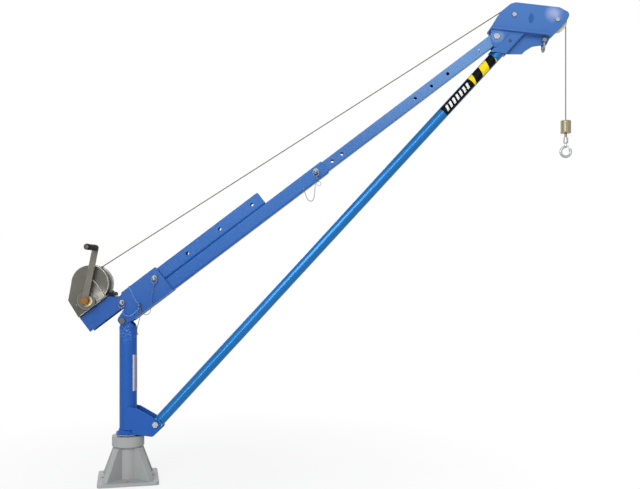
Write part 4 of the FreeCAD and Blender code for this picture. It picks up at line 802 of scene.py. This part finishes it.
def hex_head(name, origin, axis, across, height, body, slot, material=None):
    """Hexagon head with a chamfered top."""
    corner = across / math.sqrt(3)
    profile = [(corner, 0.0), (corner, height * 0.84), (corner * 0.86, height), (corner * 0.5, height)]
    return finish_piece(lathe(name, profile, origin, axis, 6, smooth=False), body, slot, material)


def bead(name, points, radius, body, slot, material=None, closed=False):
    """Thin round bead along a line."""

    def section(angle, distance):
        return radius * (1.0 + 0.06 * math.sin(distance * 260))

    return finish_piece(tube_mesh(name, points, section, 10, closed=closed), body, slot, material)


def weld(name, points, radius, body, slot, closed=False):
    """Weld bead with a stacked ripple along a line."""

    def section(angle, distance):
        ripple = abs(math.sin(distance / radius * 1.9 + 0.6 * math.sin(distance * 90)))
        return radius * (0.82 + 0.18 * ripple)

    return finish_piece(tube_mesh(name, points, section, 8, closed=closed), body, slot)


def line_points(start, end, count):
    """Points of a straight line."""
    return [Vector(start).lerp(Vector(end), i / count) for i in range(count + 1)]


def level_ring(z, radius, count):
    """Points of a level circle round the mast."""
    places = []
    for angle in round_angles(count):
        places.append(Vector((radius * math.cos(angle), radius * math.sin(angle), z)))
    return places


# Cords


def spline_points(name, route, resolution):
    """Points along the smooth line of a route, read from its NURBS spline."""
    curve = bpy.data.curves.new(name + "_line", "CURVE")
    curve.dimensions = "3D"
    curve.resolution_u = resolution
    spline = curve.splines.new("NURBS")
    spline.points.add(len(route) - 1)
    for point, place in zip(spline.points, route):
        point.co = (*place, 1.0)
    spline.order_u = 3
    spline.use_endpoint_u = True
    holder = put(name + "_line", curve)
    bpy.context.view_layer.update()
    mesh = bpy.data.meshes.new_from_object(holder)
    points = [v.co.copy() for v in mesh.vertices]
    bpy.data.objects.remove(holder)
    bpy.data.meshes.remove(mesh)
    bpy.data.curves.remove(curve)
    return points


def spaced(points, step):
    """Those of the spline's points that lie a step or more from the one kept before, and the last."""
    kept = [points[0]]
    for point in points[1:-1]:
        if (point - kept[-1]).length >= step and (point - points[-1]).length >= step / 2:
            kept.append(point)
    return kept + [points[-1]]


def stranded(name, points, radius, strands, lay, slot, material=None):
    """Laid wire: round strands twisted about the line."""

    def section(angle, distance):
        return radius * (0.84 + 0.16 * abs(math.sin(strands * angle / 2)))

    piece = tube_mesh(name, points, section, strands * 4, 2 * math.pi / lay)
    return finish_piece(piece, None, slot, material)


def rope(name, route, resolution, step, node, material=None):
    """Wire rope along a route, in place of a node, and the points that it follows."""
    points = spaced(spline_points(name, route, resolution), step)
    piece = stranded(name, points, ROPE_R, ROPE_STRANDS, ROPE_LAY, "rope_steel", material)
    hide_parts(node)
    return piece, points


def ahead(degrees):
    """Direction at an angle above level."""
    return Vector((math.cos(math.radians(degrees)), 0, math.sin(math.radians(degrees))))


def rope_turns():
    """The outer layer on the drum, one line that leaves towards the long run."""
    route = []
    count = WIND_TURNS * WIND_POINTS
    corner_r = WIND_R / math.cos(math.pi / WIND_POINTS)
    for i in range(count + 1):
        turns_left = (count - i) / WIND_POINTS
        r = WIND_R if i in (0, count) else corner_r
        angle = RUN_ANGLE + 90 + 360 * turns_left
        route.append(circle_place(DRUM, r, angle, WIND_END_Y - WIND_PITCH * turns_left))
    route.append(route[-1] + ahead(RUN_ANGLE) * (2 * ROPE_R))
    piece = rope("rope_turns", route, resolution=5, step=0.002, node="rope_winding", material=drum_rope)[0]
    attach(piece, "drum")


def rope_long_run():
    """Straight run from the drum to the rear sheave."""
    start = circle_place(DRUM, WIND_R, RUN_ANGLE + 90, WIND_END_Y)
    end = circle_place(REAR_SHEAVE, SHEAVE_R, RUN_ANGLE + 90)
    along = (end - start).normalized()
    start = start + along * (2 * ROPE_R)
    route = [start, start + along * ROPE_LEAD, end - along * ROPE_LEAD, end]
    piece, points = rope("rope_long_run", route, resolution=1000, step=0.003, node="rope_run")
    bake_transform(piece)


def rope_head_run():
    """Run over the two sheaves."""
    level = HEAD_ANGLE + 90
    along = ahead(HEAD_ANGLE) * ROPE_LEAD
    route = [
        circle_place(REAR_SHEAVE, SHEAVE_R, RUN_ANGLE + 90),
        corner_place(REAR_SHEAVE, SHEAVE_R, RUN_ANGLE + 90, level),
        circle_place(REAR_SHEAVE, SHEAVE_R, level) + along,
        circle_place(FRONT_SHEAVE, SHEAVE_R, level) - along,
        corner_place(FRONT_SHEAVE, SHEAVE_R, level, FALL_ARC),
        circle_place(FRONT_SHEAVE, SHEAVE_R, FALL_ARC),
    ]
    piece, points = rope("rope_head_run", route, resolution=60, step=0.0025, node="rope_over_head")
    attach(piece, "strut_head")


def rope_fall_run():
    """Fall from the front sheave to the weight."""
    side = circle_place(FRONT_SHEAVE, SHEAVE_R, 0)
    lead = Vector((0, 0, ROPE_LEAD))
    low = Vector((side.x, 0, FALL_END_Z))
    route = [
        circle_place(FRONT_SHEAVE, SHEAVE_R, FALL_ARC),
        corner_place(FRONT_SHEAVE, SHEAVE_R, FALL_ARC, 0),
        side - lead,
        low + lead,
        low,
    ]
    piece, points = rope("rope_fall_run", route, resolution=300, step=0.003, node="rope_drop")
    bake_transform(piece)


def thin_wire(name, route, material=None):
    """Limp stranded wire along a route."""
    places = [Vector(p) for p in route]
    points = spaced(spline_points(name, places, WIRE_RESOLUTION), WIRE_STEP)
    piece = stranded(name, points, LANYARD_R, LANYARD_STRANDS, LANYARD_LAY, "lanyard_steel", material)
    return piece


def lanyard(name, route, node, material=None):
    """Thin wire between the boom and its pin's ring."""
    piece = thin_wire(name, route, material)
    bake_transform(piece)
    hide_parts(node)


def tethers():
    """A wire from the eye down behind the mast, and one up over the saddle plate's edge."""
    down = thin_wire("mast_tether_wire", MAST_TETHER)
    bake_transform(down)
    over = thin_wire("saddle_tether_wire", SADDLE_TETHER, pale_wire)
    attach(over, "boom")


rope_turns()
rope_long_run()
rope_head_run()
rope_fall_run()
lanyard("lanyard_rear_wire", LANYARD_REAR, "lanyard_rear", pale_wire)
lanyard("lanyard_front_wire", LANYARD_FRONT, "lanyard_front")
lanyard("lanyard_slide_wire", LANYARD_EXTENSION, "lanyard_extension")
tethers()


# Decal, label and small fittings


def strut_decal():
    """Thin vinyl sleeve on the strut's upper part, with its angle and distance as UV."""
    r = STRUT_R + DECAL_LIFT
    verts = []
    uvs = []
    for i in range(DECAL_RINGS + 1):
        along = DECAL_START + (DECAL_END - DECAL_START) * i / DECAL_RINGS
        for k in range(DECAL_SIDES + 1):
            angle = math.radians(DECAL_HALF_ANGLE * (2 * k / DECAL_SIDES - 1))
            verts.append(strut(along, r * math.sin(angle), -r * math.cos(angle)))
            uvs.append((angle, along))
    faces = []
    row = DECAL_SIDES + 1
    for i in range(DECAL_RINGS):
        for k in range(DECAL_SIDES):
            faces.append((i * row + k, (i + 1) * row + k, (i + 1) * row + k + 1, i * row + k + 1))
    decal = mesh_piece("strut_decal", verts, faces)
    layer = decal.data.uv_layers.new(name="UVMap")
    for loop in decal.data.loops:
        layer.data[loop.index].uv = uvs[loop.vertex_index]
    finish_piece(decal, "strut_head", "strut_blue", decal_vinyl)


def mast_label():
    """Bare plate wrapped on the mast and held by two rivets."""
    r = MAST_R + LABEL_LIFT
    sides = LABEL_SIDES
    first, last = LABEL_ANGLES
    verts = []
    for radius in (r, r + LABEL_THICK):
        for z in (LABEL_LOW, LABEL_HIGH):
            for k in range(sides + 1):
                angle = math.radians(first + (last - first) * k / sides)
                verts.append(Vector((radius * math.cos(angle), radius * math.sin(angle), z)))
    row = sides + 1
    faces = []
    for k in range(sides):
        faces.append((2 * row + k, 2 * row + k + 1, 3 * row + k + 1, 3 * row + k))
        faces.append((k, row + k, row + k + 1, k + 1))
        faces.append((k, k + 1, 2 * row + k + 1, 2 * row + k))
        faces.append((row + k, 3 * row + k, 3 * row + k + 1, row + k + 1))
    faces.append((0, 2 * row, 3 * row, row))
    faces.append((sides, row + sides, 3 * row + sides, 2 * row + sides))
    finish_piece(mesh_piece("mast_label_plate", verts, faces, smooth=False), "mast", "zinc", label_face)
    middle = math.radians((first + last) / 2)
    out = Vector((math.cos(middle), math.sin(middle), 0))
    for word, z in (("low", LABEL_LOW + LABEL_RIVET_EDGE), ("high", LABEL_HIGH - LABEL_RIVET_EDGE)):
        place = out * (r + LABEL_THICK) + Vector((0, 0, z))
        rivet("mast_label_rivet_" + word, place, out, *LABEL_RIVET, "mast", "zinc")


def block(name, places, y_low, y_high, soften, body, slot, material):
    """Plate of a side outline with its edges rounded."""
    shape = bmesh.new()
    near = [shape.verts.new((place.x, y_low, place.z)) for place in places]
    far = [shape.verts.new((place.x, y_high, place.z)) for place in places]
    shape.faces.new(near)
    shape.faces.new(far)
    for k in range(len(places)):
        shape.faces.new((near[k - 1], near[k], far[k], far[k - 1]))
    bmesh.ops.recalc_face_normals(shape, faces=shape.faces)
    bmesh.ops.bevel(shape, geom=shape.edges[:], offset=soften, segments=3, profile=0.5, affect="EDGES")
    mesh = bpy.data.meshes.new(name)
    shape.to_mesh(mesh)
    shape.free()
    return finish_piece(put(name, mesh), body, slot, material)


def painted_base_shade():
    """Black block over the front of the winch base, level on the channel's slope: painted shade."""
    places = [Vector((x, 0, z)) for x, z in BASE_SHADE_SIDE]
    block("winch_base_shade_block", places, *BASE_SHADE_Y, BASE_SHADE_SOFTEN, "boom", "grip_black", shade_black)


def cover_trim():
    """Rolled edges of the cover and its bowed pad, pale grey as painted highlight, the axle's cap and the
    cover's screw.
    """
    first, last = COVER_RIM_ARC
    r = COVER_R - COVER_RIM_INSET
    rim = []
    for i in range(61):
        angle = math.radians(first + (last - first) * i / 60)
        rim.append(boom(DRUM_AT + r * math.cos(angle), DRUM_HIGH + r * math.sin(angle), COVER_FACE))
    bead("cover_rim", rim, COVER_RIM_BEAD, "boom", "winch_grey", highlight_grey)
    low = CHANNEL_TOP + PAD_LOW
    bow = []
    for i in range(25):
        share = i / 24
        bow.append((PAD_EDGE + PAD_BOW * math.sin(math.pi * share ** PAD_LEAN), low + PAD_HEIGHT * share))
    grey = OTHER_LOOKS["winch_cover"]
    pad = [boom(u, v) for u, v in bow]
    block("cover_pad_bow", pad, PAD_FACE, COVER_FACE - PAD_GAP, PLATE_SOFTEN, "boom", "winch_grey", grey)
    edge = [boom(u, v, PAD_FACE) for u, v in bow]
    bead("cover_pad_edge", edge, PAD_BEAD, "boom", "winch_grey", highlight_grey)
    foot_low = CHANNEL_TOP + COVER_FOOT_LOW
    foot = line_points(*(boom(u, foot_low, COVER_FACE) for u in COVER_FOOT), 60)
    bead("cover_foot_edge", foot, COVER_FOOT_BEAD, "boom", "winch_grey", highlight_grey)
    axle = boom(DRUM_AT, DRUM_HIGH, PAD_FACE)
    rivet("drum_axle_cap", axle, NEAR_SIDE, *AXLE_CAP, "boom", "winch_grey", grey)
    screw = boom(*COVER_SCREW_AT, COVER_FACE)
    rivet("cover_screw", screw, NEAR_SIDE, *COVER_SCREW, "boom", "winch_grey", rim_highlight_and_screw_grey)


def brake_rim():
    """Rolled edge of the outer brake plate, lighter grey as painted highlight."""
    rim = []
    for angle in round_angles(72):
        along = CRANK_AT + BRAKE_R * math.cos(angle)
        rim.append(boom(along, CRANK_HIGH + BRAKE_R * math.sin(angle), BRAKE_FACE))
    bead("brake_plate_rim", rim, BRAKE_BEAD, "crank", "winch_grey", rim_highlight_and_screw_grey, closed=True)


def boom_eyelet():
    """Stud with a hanging wire loop on the near side of the inner boom."""
    stud = boom(EYELET_AT, EYELET_HIGH, EYELET_FACE)
    finish_piece(lathe("eyelet_stud", EYELET_PROFILE, stud, NEAR_SIDE), "inner_boom", "zinc", eyelet_steel)
    half_wide, half_high = EYELET_LOOP_HALF
    loop = []
    for angle in round_angles(36):
        drop = half_high * (math.cos(angle) - 1.0) + EYELET_LOOP_TOP
        loop.append(stud + Vector((half_wide * math.sin(angle), EYELET_LOOP_Y, drop)))
    bead("eyelet_loop", loop, EYELET_LOOP_R, "inner_boom", "zinc", eyelet_steel, closed=True)


def head_mark():
    """Darker oval sheet on the near head plate, painted shade standing in for a hollow."""
    half_wide, half_high = MARK_HALF
    rim = []
    for angle in round_angles(48):
        rim.append(head(MARK_AT + half_wide * math.cos(angle), MARK_HIGH + half_high * math.sin(angle)))
    near = HEAD_FACE - MARK_LIFT
    far = HEAD_FACE + MARK_DEPTH
    block("head_oval_shade", rim, near, far, PLATE_SOFTEN, "strut_head", "head_blue", mark_shade_blue)


def pin_links():
    """Long link and split ring that hang on the extension pin's ring, and the wire's rivet on the boom."""
    across = Vector((0, LINK_HALF_WIDE, 0))
    reach = (PIN_RING_LOW - LINK_LOW) / 2
    middle = (PIN_RING_LOW + LINK_LOW) / 2
    link = []
    ring = []
    for i, angle in enumerate(round_angles(LINK_POINTS)):
        link.append(middle + reach * (LINK_OVERLAP * math.cos(angle)) + across * math.sin(angle))
        ring.append(circle_place(SPLIT_RING, SPLIT_RING_R, 360 / LINK_POINTS * i))
    for name, points in (("slide_pin_link", link), ("slide_pin_split_ring", ring)):
        bead(name, points, LINK_WIRE_R, "slide_pin", "lanyard_steel", dull_steel, closed=True)
    anchor = Vector(LANYARD_EXTENSION[0])
    rivet("slide_wire_rivet", anchor, NEAR_SIDE, *WIRE_RIVET, "boom", "lanyard_steel", dull_steel)


def set_screw():
    """Hexagon screw in the side of the strut's socket."""
    place = strut(*SET_SCREW_AT)
    hex_head("socket_set_screw", place, NEAR_SIDE, SET_SCREW_ACROSS, SET_SCREW_HEIGHT, "strut_head",
             "machined_steel", dark_steel_and_gap_shade)


def welds():
    """Weld beads on the mast, its bracket and the head."""
    for name, (z, ring_r, radius) in MAST_WELDS.items():
        weld(name, level_ring(z, ring_r, MAST_WELD_POINTS), radius, "mast", "mast_blue", closed=True)
    for side, word in ((-1, "near"), (1, "far")):
        ends = [(BRACKET_WELD_X, side * BRACKET_WELD_Y, z) for z in BRACKET_WELD_Z]
        bracket = line_points(*ends, BRACKET_WELD_POINTS)
        weld("weld_bracket_" + word, bracket, BRACKET_WELD_R, "mast", "mast_blue")
        for name, (start, end, high, off, radius, count) in HEAD_WELDS.items():
            line = line_points(head(start, high, side * off), head(end, high, side * off), count)
            weld(name + word, line, radius, "strut_head", "head_blue")


strut_decal()
mast_label()
painted_base_shade()
cover_trim()
brake_rim()
boom_eyelet()
head_mark()
pin_links()
set_screw()
welds()


# Stage, light and camera


def background_ray(tree):
    """1 for rays that show the background: seen straight, in a reflection or through glass."""
    path = tree.nodes.new("ShaderNodeLightPath")
    seen = path.outputs["Is Camera Ray"]
    for ray in ("Is Glossy Ray", "Is Transmission Ray"):
        either = tree.nodes.new("ShaderNodeMath")
        either.operation = "MAXIMUM"
        tree.links.new(seen, either.inputs[0])
        tree.links.new(path.outputs[ray], either.inputs[1])
        seen = either.outputs["Value"]
    return seen


def studio():
    """Pale floor that takes the object's shadow near it and fades to the white background."""
    floor_mesh = bpy.data.meshes.new("floor")
    floor_mesh.from_pydata(FLOOR_CORNERS, [], [(0, 1, 2, 3)])
    floor = put("floor", floor_mesh)
    floor.location.z = -FLOOR_DROP
    s = Shader("floor_white")
    s.set(Base_Color=FLOOR_GREY, Roughness=0.9)
    glow = s.add("ShaderNodeEmission")
    glow.inputs["Color"].default_value = WHITE
    glow.inputs["Strength"].default_value = 1.0
    mix = s.add("ShaderNodeMixShader")
    white = s.span(s.apart(FLOOR_MIDDLE), FLOOR_WHITE, 1.0, *FLOOR_FADE)
    s.link(s.math("MULTIPLY", background_ray(s.tree), white), mix.inputs["Fac"])
    s.link(s.surface.outputs["BSDF"], mix.inputs[1])
    s.link(glow.outputs["Emission"], mix.inputs[2])
    s.link(mix.outputs["Shader"], s.tree.nodes["Material Output"].inputs["Surface"])
    floor_mesh.materials.append(s.material)


def world_light():
    """Even soft light that shows as white behind the object."""
    world = bpy.data.worlds.new("studio")
    bpy.context.scene.world = world
    world.use_nodes = True
    tree = world.node_tree
    background = tree.nodes["Background"]
    background.inputs["Color"].default_value = SKY
    background.inputs["Strength"].default_value = SKY_STRENGTH
    white = tree.nodes.new("ShaderNodeBackground")
    white.inputs["Color"].default_value = WHITE
    white.inputs["Strength"].default_value = 1.0
    mix = tree.nodes.new("ShaderNodeMixShader")
    tree.links.new(background_ray(tree), mix.inputs["Fac"])
    tree.links.new(background.outputs["Background"], mix.inputs[1])
    tree.links.new(white.outputs["Background"], mix.inputs[2])
    tree.links.new(mix.outputs["Shader"], tree.nodes["World Output"].inputs["Surface"])


def area_light(name, place, target, size, power):
    """Square soft box that faces a target."""
    data = bpy.data.lights.new(name, "AREA")
    data.size = size
    data.energy = power
    lamp = put(name, data)
    lamp.location = place
    lamp.rotation_euler = (Vector(target) - Vector(place)).to_track_quat("-Z", "Y").to_euler()
    return lamp


def strip_light(name, place, target, along, length, width, power):
    """Long soft box whose length lies along a direction."""
    lamp = area_light(name, place, target, length, power)
    lamp.data.shape = "RECTANGLE"
    lamp.data.size_y = width
    back = (Vector(place) - Vector(target)).normalized()
    side = (along - back * along.dot(back)).normalized()
    lamp.rotation_euler = Matrix((side, back.cross(side), back)).transposed().to_euler()


def camera():
    """Level camera with its picture shifted up."""
    data = bpy.data.cameras.new("camera")
    data.lens = CAMERA_LENS
    data.sensor_width = CAMERA_SENSOR
    data.shift_y = CAMERA_SHIFT
    eye = put("camera", data)
    eye.location = CAMERA_PLACE
    eye.rotation_euler = (math.radians(90), 0, 0)
    bpy.context.scene.camera = eye


studio()
world_light()
strut_line = ahead(math.degrees(STRUT_TILT))
area_light("key", place=(-1.7, -4.8, 3.6), target=(0.5, 0, 0.9), size=2.0, power=95)
area_light("fill", place=(3.6, -4.2, 2.2), target=(1.2, 0, 1.2), size=2.2, power=12)
strip_light("strip", place=(0.08, -4.2, 2.11), target=(0.88, 0, 1.10), along=strut_line, length=5.0,
            width=0.75, power=95)
area_light("top", place=(0.8, 0.4, 4.4), target=(0.8, 0, 1.0), size=2.0, power=30)
area_light("back", place=(-1.6, 4.8, 3.2), target=(0.8, 0, 1.0), size=2.5, power=70)
camera()
bpy.context.scene.view_settings.view_transform = "Standard"
